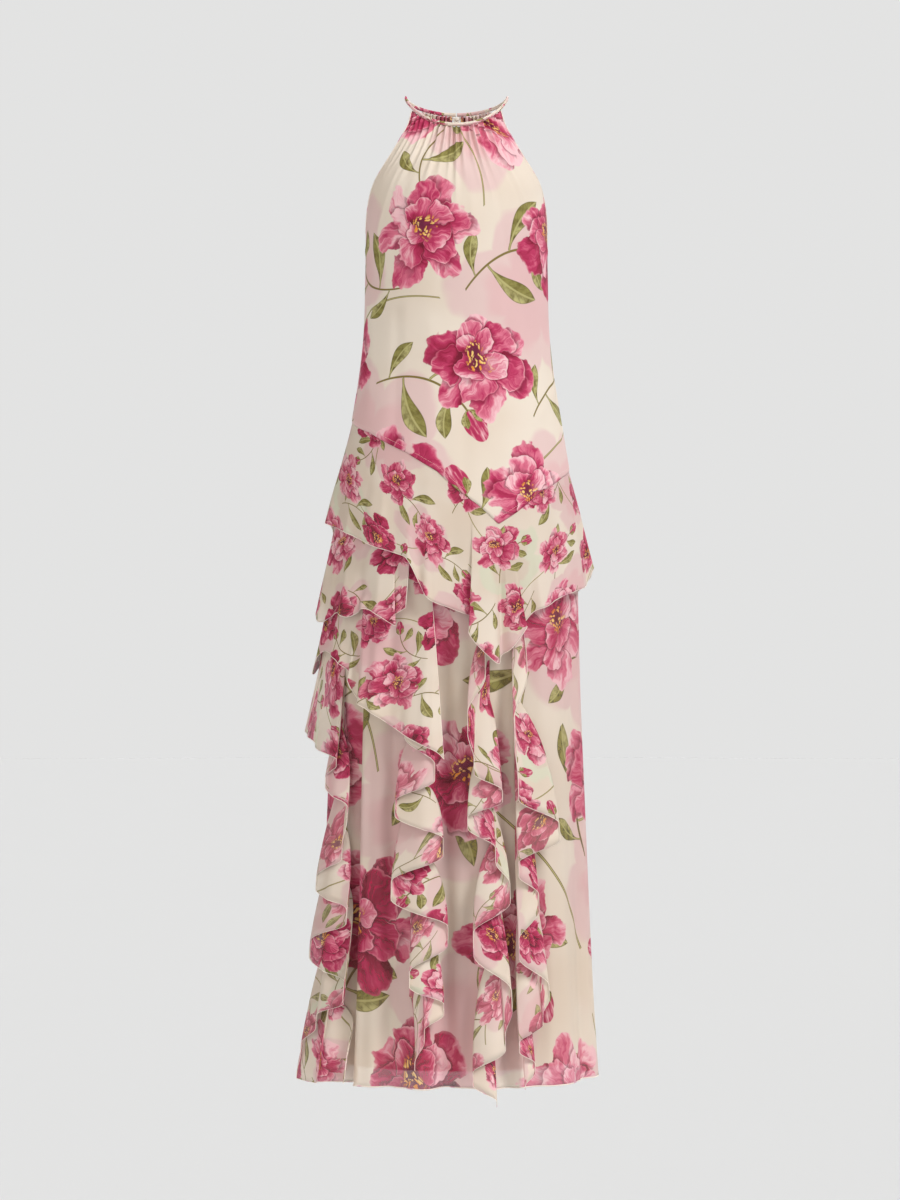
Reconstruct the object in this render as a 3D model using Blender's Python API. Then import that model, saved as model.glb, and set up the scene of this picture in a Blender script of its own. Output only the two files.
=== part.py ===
"""Long sleeveless halter dress of printed chiffon, filled out as it is worn.

Tables and sizes are in millimetres and degrees, and the meshes in metres, +Z up.
The origin is the middle of the neck opening, level with the sides of the neckband.
An angle goes round the dress: 0 is the centre front (-Y), 90 the right of the picture
(+X), 180 the centre back and -90 the left of the picture.
"""
import math

import bmesh
import bpy
import numpy as np
from mathutils import Vector

for old in list(bpy.data.objects):
    bpy.data.objects.remove(old, do_unlink=True)

# Cloth and seams
MM = 0.001
CLOTH = 1.2
SEAM_GAP = 0.3
LAYER = 1.7
SEAM_ALLOWANCE = 7.0
DIRECTION_STEPS = 60

# Skirt and lining
SKIRT_LIFT = -2.0 * LAYER
HEM_HEIGHT = -1463.0
FOLD_GROWTH = 1.15
LINING_HEM = -1441.0
LINING_GAP = 0.9
LINING_DEPTH = 17.0
LINING_SPREAD = 1.6

# How flounces and cascades swing out from their seams
FLOUNCE_TUCK = 3.0
FLOUNCE_CURVE = 1.35
CASCADE_START = 1.4
CASCADE_STAND = 8.0
CASCADE_FLARE = 0.13
CASCADE_TURN = 0.25

# Neckband
NECK_HALF_WIDTH = 76.0
NECK_DEPTH = 65.0
NECK_DROP_FRONT = 50.0
NECK_DROP_BACK = 15.0
NECK_ROUNDING = 1.3
BAND_HEIGHT = 5.6
BAND_THICKNESS = 3.8
BAND_OPENING = 1.8

# Gathers below the neckband, which fade out so many rows of the yoke tables down and
# drift a little sideways, so that they are not all alike
GATHERS_FRONT = 20
GATHERS_BACK = 18
GATHER_DEPTH = 1.7
GATHER_REACH = 4.6
GATHER_FADE = 1.4
GATHER_DRIFT = 0.22
DRIFT_WAVES = 5.3
DRIFT_START = 0.7

# Button and loop
BUTTON_RADIUS = 3.6
BUTTON_THICKNESS = 4.6
LOOP_WIRE = 0.8

# Sections of the body, from the hem to under the arms
# distance below the origin, half width, depth in front, depth behind
BODY = (
    (1463, 210, 153, 153),
    (1353, 204, 149, 150),
    (1203, 198, 143, 144),
    (1053, 193, 137, 139),
    (903, 188, 131, 134),
    (700, 183, 123, 128),
    (600, 176, 117, 123),
    (543, 167, 113, 117),
    (483, 157, 109, 109),
    (423, 147, 106, 99),
    (363, 140, 106, 93),
    (270, 137, 111, 92),
    (205, 136, 111.5, 96),
)
UNDERARM_HEIGHT = -204.0
SIDE_DEPTH = 110.0

# The slanting hip seam, once round from the left side
# angle, height
HIP_SEAM = (
    (-90, -483),
    (-53, -506),
    (-27, -536),
    (-10, -564),
    (0, -591),
    (11, -616),
    (20, -642),
    (30, -624),
    (44, -595),
    (66, -572),
    (90, -558),
    (120, -584),
    (148, -612),
    (162, -634),
    (176, -612),
    (198, -580),
    (225, -540),
    (250, -508),
    (270, -483),
)

# The front above the underarm
# step, half width, depth, end angle, height at the centre, height at the armhole
FRONT_YOKE = (
    (0, 76, 65, 58.8, -53.2, -24.5),
    (1, 84, 76, 58.5, -67, -46),
    (2, 97, 86, 60, -87, -68),
    (3, 110, 95, 63, -107, -91),
    (4, 121, 102, 67.5, -127, -112),
    (5, 128.5, 107, 73, -147, -131),
    (6, 132.5, 109.5, 79, -166, -152),
    (7, 135, 111, 84.5, -186, -178),
    (8, 136, 111.5, 90, -205, -203),
)

# The back above the underarm, with its angles counted from the centre back
# step, half width, depth, end angle, height at the centre, height at the armhole
BACK_YOKE = (
    (0, 76, 65, 42, -18.2, -13.4),
    (1, 86, 74, 40, -45, -40),
    (2, 98, 83, 41.5, -75, -70),
    (3, 111, 89, 47.6, -105, -100),
    (4, 122, 93, 56.7, -135, -130),
    (5, 130, 95, 70, -164, -160),
    (6, 134.5, 96, 81.5, -188, -185),
    (7, 136, 96, 90, -205, -203),
)

# The keyhole below the neckband
# height, half width
KEYHOLE = (
    (-104, 0.0),
    (-97, 5.5),
    (-85, 8.5),
    (-65, 8.8),
    (-40, 7.2),
    (-15, 6.6),
)

# Soft pleats of the skirt, deepest at the hem
# angle, depth at the hem, half width
SKIRT_FOLDS = (
    (-78, 7, 9),
    (-51, -15, 6.5),
    (-38, 7, 7),
    (-27, -5, 5),
    (-14, 7, 6),
    (0, -15, 8.5),
    (12, 6, 6),
    (33, -6, 6),
    (50, 7, 9),
    (69, -9, 6),
    (84, 7, 7),
    (104, -8, 7),
    (119, 8, 8),
    (137, -14, 7.5),
    (152, 7, 7),
    (171, -11, 7),
    (186, 9, 8),
    (204, -14, 8),
    (222, 7, 8),
    (240, -9, 7),
    (256, 6, 8),
)

# Flounces hang from a seam on the skirt, a row for each wave or fold of the hem
# angle at the seam, height of the seam, angle, height and lift of the hem
HIP_FLOUNCE_FRONT = (
    (-90, -90, -634, 21),
    (-66, -62, -652, 12),
    (-46, -42, -672, 15),
    (-33, -29, -684, 12),
    (-26, -22, -694, 19),
    (-19, -16.7, -727, 13),
    (-12, -11.8, -752, 18),
    (-4, -2, -766, 12),
    (4, 10.4, -784, 12),
    (9, 5, -801, 26),
    (16, 16, -844, 34),
    (20, 19.6, -833, 16),
    (22, 23.5, -822, 28),
    (25, 29.5, -792, 34),
    (29, 27, -800, 18),
    (34, 36, -771, 10),
    (43, 43, -762, 15),
    (56, 56, -746, 11),
    (72, 74, -735, 17),
    (82, 85, -728, 14),
    (90, 90, -705, 26),
)

HIP_FLOUNCE_BACK = (
    (90, 90, -705, 26),
    (102, 104, -738, 12),
    (114, 117, -752, 19),
    (127, 128, -764, 13),
    (139, 143, -792, 12),
    (145, 139, -806, 27),
    (156, 154, -850, 33),
    (161, 160, -838, 20),
    (166, 167, -826, 27),
    (172, 175, -798, 33),
    (178, 173, -804, 17),
    (187, 187, -776, 11),
    (199, 199, -758, 22),
    (213, 214, -738, 18),
    (228, 229, -712, 24),
    (243, 243, -688, 22),
    (257, 257, -650, 12),
    (270, 270, -634, 21),
)

SIDE_FLOUNCE_MIDDLE = (
    (-22, -660, -22, -764, 23),
    (-27, -655, -30, -780, 14),
    (-33, -650, -27, -790, 24),
    (-42, -640, -43, -766, 13),
    (-52, -630, -54, -778, 20),
    (-63, -620, -66, -772, 14),
    (-74, -612, -80, -786, 20),
    (-84, -606, -91, -770, 29),
    (-95, -604, -97, -752, 18),
    (-107, -604, -108, -764, 24),
    (-120, -608, -122, -786, 15),
    (-132, -614, -135, -796, 24),
    (-142, -622, -146, -812, 18),
)

SIDE_FLOUNCE_LOWER = (
    (-12, -716, -5.2, -984, 24),
    (-16, -716, -9, -972, 23),
    (-22, -714, -20.6, -952, 25),
    (-30, -712, -30.2, -933, 18),
    (-38, -710, -39, -914, 24),
    (-46, -708, -49, -898, 16),
    (-52, -706, -52.8, -874, 24),
    (-58, -704, -56, -856, 14),
    (-66, -702, -66, -838, 19),
    (-77, -700, -79, -830, 17),
    (-87, -698, -91, -864, 33),
    (-99, -698, -101, -850, 20),
    (-112, -698, -113, -868, 27),
    (-126, -700, -128, -896, 18),
    (-140, -704, -142, -930, 25),
    (-152, -708, -154, -956, 16),
    (-162, -712, -165, -986, 22),
)

# Cascades are spirals sewn on along an upright line, and their free edge swings to and
# fro below it. Each has the angle of its seam, the seam's top and foot, and a row for
# each turn of the free edge
# angle, height
CASCADE_LEFT_SEAM = (-63, -760, -1350)
CASCADE_LEFT_CORNER = (1, 12.0)
CASCADE_LEFT = (
    (-90, -860),
    (-91, -950),
    (-78, -966),
    (-58, -992),
    (-67, -1020),
    (-52, -1066),
    (-54, -1124),
    (-70, -1172),
    (-50, -1216),
    (-72, -1268),
    (-47, -1330),
    (-63, -1374),
    (-73, -1418),
    (-75, -1462),
    (-62, -1464),
    (-45, -1455),
)

CASCADE_CENTER_SEAM = (-20, -860, -1330)
CASCADE_CENTER = (
    (-22, -940),
    (-9, -1004),
    (-26, -1056),
    (-5.5, -1110),
    (-27, -1175),
    (-3.5, -1239),
    (-18, -1304),
    (-5, -1346),
    (-12, -1380),
    (-15.5, -1432),
)

CASCADE_INNER_SEAM = (15, -760, -1340)
CASCADE_INNER = (
    (12, -846),
    (4.5, -934),
    (7, -996),
    (18.5, -1038),
    (4.5, -1074),
    (15.5, -1122),
    (21.5, -1176),
    (6.5, -1249),
    (21, -1336),
    (18, -1392),
    (6, -1446),
    (14.5, -1484),
)

CASCADE_OUTER_SEAM = (27, -760, -1340)
CASCADE_OUTER = (
    (31, -840),
    (24, -948),
    (25, -1030),
    (43, -1092),
    (24.5, -1144),
    (33.5, -1190),
    (24, -1258),
    (36.5, -1326),
    (34, -1362),
    (23.5, -1400),
    (30.5, -1432),
    (26, -1462),
)

CASCADE_BACK_LEFT_SEAM = (216, -860, -1330)
CASCADE_BACK_LEFT = (
    (220, -960),
    (206, -1032),
    (227, -1088),
    (205, -1150),
    (226, -1222),
    (207, -1290),
    (225, -1350),
    (208, -1402),
    (218, -1462),
)

CASCADE_BACK_CENTER_SEAM = (157.5, -800, -1340)
CASCADE_BACK_CENTER = (
    (160, -880),
    (148, -946),
    (167, -1004),
    (147, -1070),
    (166, -1140),
    (148, -1212),
    (167, -1280),
    (149, -1350),
    (165, -1410),
    (154, -1476),
)

CASCADE_BACK_RIGHT_SEAM = (126, -740, -1340)
CASCADE_BACK_RIGHT = (
    (129, -830),
    (116, -900),
    (135, -968),
    (115, -1046),
    (135, -1124),
    (116, -1200),
    (134, -1272),
    (117, -1344),
    (132, -1406),
    (124, -1461),
)

# Mesh density: the rows of the bodice above the underarm, each with its columns
# step, columns
FRONT_ROWS = (
    (0, 80),
    (0.6, 80),
    (1.4, 80),
    (2.4, 80),
    (4, 36),
    (6, 36),
    (8, 36),
)

# The back's rows beside the keyhole, with the columns of one half
# step, columns
BACK_SPLIT_ROWS = (
    (0, 40),
    (0.5, 40),
    (1.1, 40),
    (1.8, 40),
    (2.5, 20),
)

# The back's rows below the keyhole
# step, columns
BACK_ROWS = (
    (2.98, 36),
    (4, 36),
    (5.5, 36),
    (7, 36),
)

# Mesh density of the rest
BODICE_COLUMNS = 36
BODICE_SHARES = (0.22, 0.46, 0.72, 1.0)
SKIRT_COLUMNS = 36
SKIRT_SHARES = (0.0, 0.05, 0.12, 0.22, 0.36, 0.52, 0.68, 0.84, 1.0)
LINING_COLUMNS = 36
LINING_SHARES = (0.0, 0.06, 0.16, 0.5, 1.0)
STEPS_PER_FOLD = 3
FLOUNCE_SHARES = (0.0, 0.25, 0.5, 0.75, 1.0)
CASCADE_ROWS = 4
CASCADE_COLUMNS_PER_SWING = 3
BAND_STEPS = 36
BAND_SIDES = 8
BUTTON_SEGMENTS = 12
BUTTON_RINGS = 8
LOOP_STEPS = 12
LOOP_SIDES = 6

# Colours of the plain solids
CREAM = (0.86, 0.78, 0.70)
SKIRT_CREAM = (0.84, 0.74, 0.68)
LINING_CREAM = (0.88, 0.82, 0.74)
FLOUNCE_PINK = (0.82, 0.68, 0.66)
CASCADE_PINK = (0.80, 0.62, 0.62)
BAND_PINK = (0.80, 0.60, 0.62)
BUTTON_CREAM = (0.93, 0.90, 0.84)
MATT = 0.8
SATIN = 0.4


def follow(rows, at):
    """Smooth values of a table's later columns, at places along its first one."""
    table = np.array(sorted(rows), float)
    keys = table[:, 0]
    values = table[:, 1:]
    slopes = np.gradient(values, keys, axis=0)
    at = np.clip(np.asarray(at, float), keys[0], keys[-1])
    i = np.clip(np.searchsorted(keys, at, side="right") - 1, 0, len(keys) - 2)
    width = (keys[i + 1] - keys[i])[..., None]
    s = (at - keys[i])[..., None] / width
    start = values[i] * (1 + 2 * s) * (1 - s) ** 2 + slopes[i] * width * s * (1 - s) ** 2
    end = values[i + 1] * (3 - 2 * s) * s ** 2 - slopes[i + 1] * width * (1 - s) * s ** 2
    return np.moveaxis(start + end, -1, 0)


def follow_steps(rows, at):
    """Smooth values of every column, at row numbers that need not be whole."""
    numbered = [(number, *row) for number, row in enumerate(rows)]
    return follow(numbered, at)


def hip_seam(angle):
    """Height of the hip seam at an angle."""
    table = np.array(HIP_SEAM, float)
    turned = np.mod(np.asarray(angle, float) + 90.0, 360.0) - 90.0
    return np.interp(turned, table[:, 0], table[:, 1])


def section_point(angle, height, half_width, front, back, lift):
    """A point of an oval section, moved out by the lift."""
    turn = np.radians(angle)
    depth = np.where(np.cos(turn) > 0, front, back)
    across = np.sin(turn) / half_width
    along = -np.cos(turn) / depth
    length = np.hypot(across, along)
    x = half_width * np.sin(turn) + lift * across / length
    y = -depth * np.cos(turn) + lift * along / length
    return np.stack(np.broadcast_arrays(x, y, height), axis=-1)


def body_point(angle, height, lift):
    """A point on the dress body below the arms."""
    half_width, front, back = follow(BODY, -np.asarray(height, float))
    return section_point(angle, height, half_width, front, back, lift)


def skirt_fold(angle, height):
    """How far the pleats push the skirt out, or in where it is negative."""
    seam = hip_seam(angle)
    growth = np.clip((seam - height) / (seam - HEM_HEIGHT), 0, 1) ** FOLD_GROWTH
    total = 0
    for centre, depth, half_width in SKIRT_FOLDS:
        apart = np.mod(np.asarray(angle) - centre + 180.0, 360.0) - 180.0
        total = total + depth * np.exp(-(apart / half_width) ** 2)
    return total * growth


def skirt_point(angle, height, lift):
    """A point lifted off the pleated skirt."""
    return body_point(angle, height, SKIRT_LIFT + skirt_fold(angle, height) + lift)


def ring_height(angle):
    """Height of the neckband at an angle."""
    level = np.cos(np.radians(angle))
    drop = np.where(level > 0, NECK_DROP_FRONT, NECK_DROP_BACK)
    return -drop * np.abs(level) ** NECK_ROUNDING


def make_material(name, color, roughness):
    """A plain colour for one solid."""
    material = bpy.data.materials.new(name)
    material.use_nodes = True
    shader = material.node_tree.nodes["Principled BSDF"]
    shader.inputs["Base Color"].default_value = (*color, 1.0)
    shader.inputs["Roughness"].default_value = roughness
    shader.inputs["Metallic"].default_value = 0.0
    return material


def finish_object(name, bm, color, roughness=MATT):
    """Turn a closed bmesh in millimetres into an object in metres."""
    bmesh.ops.scale(bm, vec=(MM, MM, MM), verts=bm.verts)
    mesh = bpy.data.meshes.new(name)
    bm.to_mesh(mesh)
    bm.free()
    mesh.shade_smooth()
    made = bpy.data.objects.new(name, mesh)
    mesh.materials.append(make_material(name, color, roughness))
    bpy.context.scene.collection.objects.link(made)
    return made


def join_rows(bm, upper, lower):
    """Skin two rows of vertices, which may differ in number."""
    if len(upper) == len(lower):
        for k in range(len(upper) - 1):
            bm.faces.new((upper[k], lower[k], lower[k + 1], upper[k + 1]))
        return
    a = 0
    b = 0
    last_a = len(upper) - 1
    last_b = len(lower) - 1
    while a < last_a or b < last_b:
        next_a = (a + 1) / last_a if a < last_a else 2.0
        next_b = (b + 1) / last_b if b < last_b else 2.0
        if next_a <= next_b:
            bm.faces.new((upper[a], lower[b], upper[a + 1]))
            a += 1
        else:
            bm.faces.new((upper[a], lower[b], lower[b + 1]))
            b += 1


def add_row(bm, points):
    """Vertices at a row of points."""
    return [bm.verts.new(Vector(p)) for p in points]


def wall_direction(vert):
    """The direction that leans as little as it can from any face at a vertex."""
    normals = [face.normal for face in vert.link_faces]
    middle = normals[0].copy()
    for step in range(2, DIRECTION_STEPS):
        farthest = min(normals, key=middle.dot)
        middle += (farthest - middle) / step
    return middle.normalized()


def thicken(bm, side_seams=(), in_front=0.0):
    """Give an open sheet its cloth wall, behind its faces but for a part in front.

    The sheet is cut into triangles first, so that twisted faces bend alike on both sides.
    At a side seam the wall points sideways, so that it ends square to the seam.
    """
    bmesh.ops.triangulate(bm, faces=bm.faces, quad_method="SHORT_EDGE")
    bm.normal_update()
    sheet = list(bm.verts)
    faces = list(bm.faces)
    rim = [edge.link_loops[0] for edge in bm.edges if edge.is_boundary]
    rim = [(loop.vert, loop.link_loop_next.vert) for loop in rim]
    directions = {vert: wall_direction(vert) for vert in sheet}
    for vert in side_seams:
        directions[vert].y = 0.0
        directions[vert].normalize()
    twins = {}
    for vert in sheet:
        vert.co += directions[vert] * in_front
        twins[vert] = bm.verts.new(vert.co - directions[vert] * CLOTH)
    for face in faces:
        bm.faces.new([twins[vert] for vert in reversed(face.verts)])
    for start, end in rim:
        bm.faces.new((end, start, twins[start], twins[end]))


def wall_from_grid(name, grid, color, side_seams=False, in_front=0.0):
    """A cloth wall from rows of points."""
    bm = bmesh.new()
    rows = [add_row(bm, points) for points in grid]
    for upper, lower in zip(rows, rows[1:]):
        join_rows(bm, upper, lower)
    seams = {vert for row in rows for vert in (row[0], row[-1])} if side_seams else ()
    thicken(bm, seams, in_front)
    return finish_object(name, bm, color)


def seam_angles(start, end, columns):
    """Angles from side to side, stopping short of each side seam by half the gap."""
    inset = math.degrees(SEAM_GAP / 2 / SIDE_DEPTH)
    return np.linspace(start + inset, end - inset, columns + 1)


def yoke_row(yoke, step, u, centre, gathers):
    """One row of the bodice above the underarm, with its gathers."""
    half_width, depth, end, middle, edge = follow(yoke, float(step))
    neck_end = yoke[0][3]
    bend = 1 - np.cos(np.radians(u * neck_end)) ** NECK_ROUNDING
    bend = bend / (1 - math.cos(math.radians(neck_end)) ** NECK_ROUNDING)
    height = middle + (edge - middle) * bend
    fade = max(0.0, 1 - step / GATHER_REACH) ** GATHER_FADE
    drifted = u + GATHER_DRIFT / gathers * np.sin(DRIFT_WAVES * math.pi * u + DRIFT_START)
    lift = GATHER_DEPTH * fade * np.cos(math.pi * gathers * drifted)
    turned = centre + u * (end - math.degrees(SEAM_GAP / 2 / depth))
    return section_point(turned, height, half_width, depth, depth, lift)


def bodice_lower_rows(start, end):
    """Rows of the bodice from the underarm to the hip seam."""
    angle = seam_angles(start, end, BODICE_COLUMNS)
    fall = hip_seam(angle) - UNDERARM_HEIGHT
    rows = []
    for share in BODICE_SHARES:
        rows.append(body_point(angle, UNDERARM_HEIGHT + fall * share, 0.0))
    return rows


def make_bodice_front():
    """The front panel, gathered into the neckband."""
    bm = bmesh.new()
    rows = []
    for step, columns in FRONT_ROWS:
        u = np.linspace(-1, 1, columns + 1)
        rows.append(add_row(bm, yoke_row(FRONT_YOKE, step, u, 0.0, GATHERS_FRONT)))
    side_rows = [add_row(bm, points) for points in bodice_lower_rows(-90.0, 90.0)]
    seams = {vert for row in [rows[-1]] + side_rows for vert in (row[0], row[-1])}
    rows += side_rows
    for upper, lower in zip(rows, rows[1:]):
        join_rows(bm, upper, lower)
    thicken(bm, seams)
    finish_object("bodice_front", bm, CREAM)


def keyhole_half_width(height):
    """Half the width of the keyhole at a height."""
    return np.interp(height, [row[0] for row in KEYHOLE], [row[1] for row in KEYHOLE])


def make_bodice_back():
    """The back panel, open down the centre to the foot of the keyhole."""
    bm = bmesh.new()
    split_rows = []
    for step, columns in BACK_SPLIT_ROWS:
        u = np.linspace(0, 1, columns + 1)
        middle = yoke_row(BACK_YOKE, step, np.zeros(1), 180.0, GATHERS_BACK)[0]
        width, depth, end = follow(BACK_YOKE, float(step))[:3]
        start = math.degrees(math.asin(keyhole_half_width(middle[2]) / width)) / end
        across = start + (1 - start) * u
        left = yoke_row(BACK_YOKE, step, -across[::-1], 180.0, GATHERS_BACK)
        right = yoke_row(BACK_YOKE, step, across, 180.0, GATHERS_BACK)
        split_rows.append((add_row(bm, left), add_row(bm, right)))
    whole_rows = []
    for step, columns in BACK_ROWS:
        u = np.linspace(-1, 1, columns + 1)
        whole_rows.append(add_row(bm, yoke_row(BACK_YOKE, step, u, 180.0, GATHERS_BACK)))
    side_rows = [add_row(bm, points) for points in bodice_lower_rows(90.0, 270.0)]
    seams = {vert for row in [whole_rows[-1]] + side_rows for vert in (row[0], row[-1])}
    whole_rows += side_rows
    for (left, right), (lower_left, lower_right) in zip(split_rows, split_rows[1:]):
        join_rows(bm, left, lower_left)
        join_rows(bm, right, lower_right)
    first = whole_rows[0]
    middle = len(first) // 2
    join_rows(bm, split_rows[-1][0], first[:middle + 1])
    join_rows(bm, split_rows[-1][1], first[middle:])
    for upper, lower in zip(whole_rows, whole_rows[1:]):
        join_rows(bm, upper, lower)
    thicken(bm, seams)
    finish_object("bodice_back", bm, CREAM)


def make_neckband():
    """A rolled band round the neck, open at the centre back."""
    opening = math.degrees(BAND_OPENING / 2 / NECK_HALF_WIDTH)
    bm = bmesh.new()
    rings = []
    for angle in np.linspace(-180 + opening, 180 - opening, BAND_STEPS + 1):
        turn = math.radians(angle)
        middle = Vector((NECK_HALF_WIDTH * math.sin(turn), -NECK_DEPTH * math.cos(turn), 0))
        middle.z = float(ring_height(angle))
        outward = Vector((math.sin(turn), -math.cos(turn), 0))
        ring = []
        for k in range(BAND_SIDES):
            around = 2 * math.pi * k / BAND_SIDES
            offset = outward * (BAND_THICKNESS / 2 * math.cos(around))
            offset.z = BAND_HEIGHT / 2 * math.sin(around)
            ring.append(bm.verts.new(middle + offset))
        rings.append(ring)
    for ring, after in zip(rings, rings[1:]):
        for k in range(BAND_SIDES):
            n = (k + 1) % BAND_SIDES
            bm.faces.new((ring[k], after[k], after[n], ring[n]))
    bm.faces.new(rings[0])
    bm.faces.new(list(reversed(rings[-1])))
    finish_object("neckband", bm, BAND_PINK)


def button_height():
    """Height of the middle of the button, just below the band."""
    return -NECK_DROP_BACK - BAND_HEIGHT / 2 - SEAM_GAP - BUTTON_RADIUS


def make_button():
    """A small covered ball, flattened, in the top of the keyhole."""
    bm = bmesh.new()
    bmesh.ops.create_uvsphere(
        bm, u_segments=BUTTON_SEGMENTS, v_segments=BUTTON_RINGS, radius=BUTTON_RADIUS)
    flatten = BUTTON_THICKNESS / 2 / BUTTON_RADIUS
    bmesh.ops.scale(bm, vec=(1, flatten, 1), verts=bm.verts)
    bmesh.ops.translate(bm, vec=(0, NECK_DEPTH, button_height()), verts=bm.verts)
    finish_object("neck_button", bm, BUTTON_CREAM, SATIN)


def make_loop():
    """A rolled loop that hangs from the band and goes under the button."""
    bm = bmesh.new()
    reach = BUTTON_RADIUS + SEAM_GAP + LOOP_WIRE
    top = -NECK_DROP_BACK - BAND_HEIGHT / 2 - SEAM_GAP
    centre = button_height()
    path = [(-reach, top)]
    for turn in np.linspace(math.pi, 2 * math.pi, LOOP_STEPS + 1):
        path.append((reach * math.cos(turn), centre + reach * math.sin(turn)))
    path.append((reach, top))
    rings = []
    for k, (x, z) in enumerate(path):
        before = path[max(k - 1, 0)]
        after = path[min(k + 1, len(path) - 1)]
        along = Vector((after[0] - before[0], 0, after[1] - before[1])).normalized()
        side = along.cross(Vector((0, 1, 0)))
        ring = []
        for n in range(LOOP_SIDES):
            around = 2 * math.pi * n / LOOP_SIDES
            offset = side * math.cos(around) + Vector((0, math.sin(around), 0))
            ring.append(bm.verts.new(Vector((x, NECK_DEPTH, z)) + offset * LOOP_WIRE))
        rings.append(ring)
    for ring, after in zip(rings, rings[1:]):
        for n in range(LOOP_SIDES):
            m = (n + 1) % LOOP_SIDES
            bm.faces.new((ring[n], ring[m], after[m], after[n]))
    bm.faces.new(list(reversed(rings[0])))
    bm.faces.new(rings[-1])
    bmesh.ops.recalc_face_normals(bm, faces=bm.faces)
    finish_object("button_loop", bm, BAND_PINK)


def make_skirt(name, start, end):
    """Half of the flared skirt, from inside the hip seam to the hem."""
    angle = seam_angles(start, end, SKIRT_COLUMNS)
    top = hip_seam(angle) + SEAM_ALLOWANCE
    grid = []
    for share in SKIRT_SHARES:
        grid.append(skirt_point(angle, top + (HEM_HEIGHT - top) * share, 0.0))
    wall_from_grid(name, grid, SKIRT_CREAM, side_seams=True)


def make_lining():
    """A plain tube inside the skirt, a little shorter."""
    angle = np.linspace(-180, 180, LINING_COLUMNS + 1)[:-1]
    top = hip_seam(angle) - SEAM_ALLOWANCE
    bm = bmesh.new()
    rows = []
    for share in LINING_SHARES:
        height = top + (LINING_HEM - top) * share
        away = LINING_GAP + LINING_DEPTH * min(1.0, LINING_SPREAD * share)
        inset = SKIRT_LIFT - CLOTH - away
        row = add_row(bm, body_point(angle, height, inset))
        rows.append(row + row[:1])
    for upper, lower in zip(rows, rows[1:]):
        join_rows(bm, upper, lower)
    thicken(bm)
    finish_object("skirt_lining", bm, LINING_CREAM)


def fold_places(rows):
    """Places along a table of folds, a few to each fold."""
    folds = len(rows) - 1
    return np.linspace(0, folds, folds * STEPS_PER_FOLD + 1)


def flounce_wall(name, seam_angle, seam, hem_angle, hem, hem_lift, side_seams=False):
    """A flounce that falls in waves from a seam on the skirt."""
    grid = []
    for share in FLOUNCE_SHARES:
        angle = seam_angle + (hem_angle - seam_angle) * share
        height = seam + (hem - seam) * share
        lift = LAYER + (hem_lift - LAYER) * share ** FLOUNCE_CURVE
        grid.append(skirt_point(angle, height, lift))
    if seam_angle[0] > seam_angle[-1]:
        grid = [points[::-1] for points in grid]
    wall_from_grid(name, grid, FLOUNCE_PINK, side_seams)


def make_hip_flounce(name, rows):
    """A flounce from the hip seam, which stops just short of the side seams."""
    seam_angle, hem_angle, hem, hem_lift = follow_steps(rows, fold_places(rows))
    inset = math.degrees(SEAM_GAP / 2 / SIDE_DEPTH)
    for column in (seam_angle, hem_angle):
        column[0] += inset
        column[-1] -= inset
    seam = hip_seam(seam_angle) + FLOUNCE_TUCK
    flounce_wall(name, seam_angle, seam, hem_angle, hem, hem_lift, side_seams=True)


def make_side_flounce(name, rows):
    """A flounce sewn to the skirt along a seam of its own."""
    flounce_wall(name, *follow_steps(rows, fold_places(rows)))


def make_cascade(name, seam, rows, corner=(0, 0.0)):
    """A spiral ruffle whose free edge swings to and fro below its upright seam.

    A line of its cloth runs down and out from the seam, and the ones that start higher
    hang outside the ones below, so that no two layers meet. The free edge keeps its angle
    round each turn, which holds the layers apart there too. A corner names one turn whose
    free edge stands out further, and how far.
    """
    seam_angle, top, foot = seam
    corner_turn, corner_reach = corner
    swings = len(rows) - 1
    edge_angles, edge_heights = np.array(rows, float).T
    turn = np.linspace(0, math.pi / 2, CASCADE_ROWS + 1)
    across = np.linspace(CASCADE_TURN, 1 - CASCADE_TURN, CASCADE_COLUMNS_PER_SWING)
    places = [0.0] + [swing + step for swing in range(swings) for step in across]
    places.append(float(swings))
    grid = []
    for place in places:
        swing = min(int(place), swings - 1)
        way = (place - swing - CASCADE_TURN) / (1 - 2 * CASCADE_TURN)
        way = min(1.0, max(0.0, way))
        edge_angle = edge_angles[swing] + (edge_angles[swing + 1] - edge_angles[swing]) * way
        edge_height = np.interp(place, range(swings + 1), edge_heights)
        start = top + (foot - top) * place / swings
        fall = (start - edge_height) * (1 - np.cos(turn))
        angle = seam_angle + (edge_angle - seam_angle) * np.sin(turn)
        lift = CASCADE_START + CASCADE_STAND * np.sin(turn) + CASCADE_FLARE * fall
        nearness = max(0.0, 1 - abs(place - corner_turn))
        lift = lift + corner_reach * nearness * (1 - np.cos(turn)) ** 3
        grid.append(skirt_point(angle, start - fall, lift))
    grid = np.stack(grid, axis=1)
    wall_from_grid(name, grid, CASCADE_PINK, in_front=CLOTH / 2)


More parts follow.
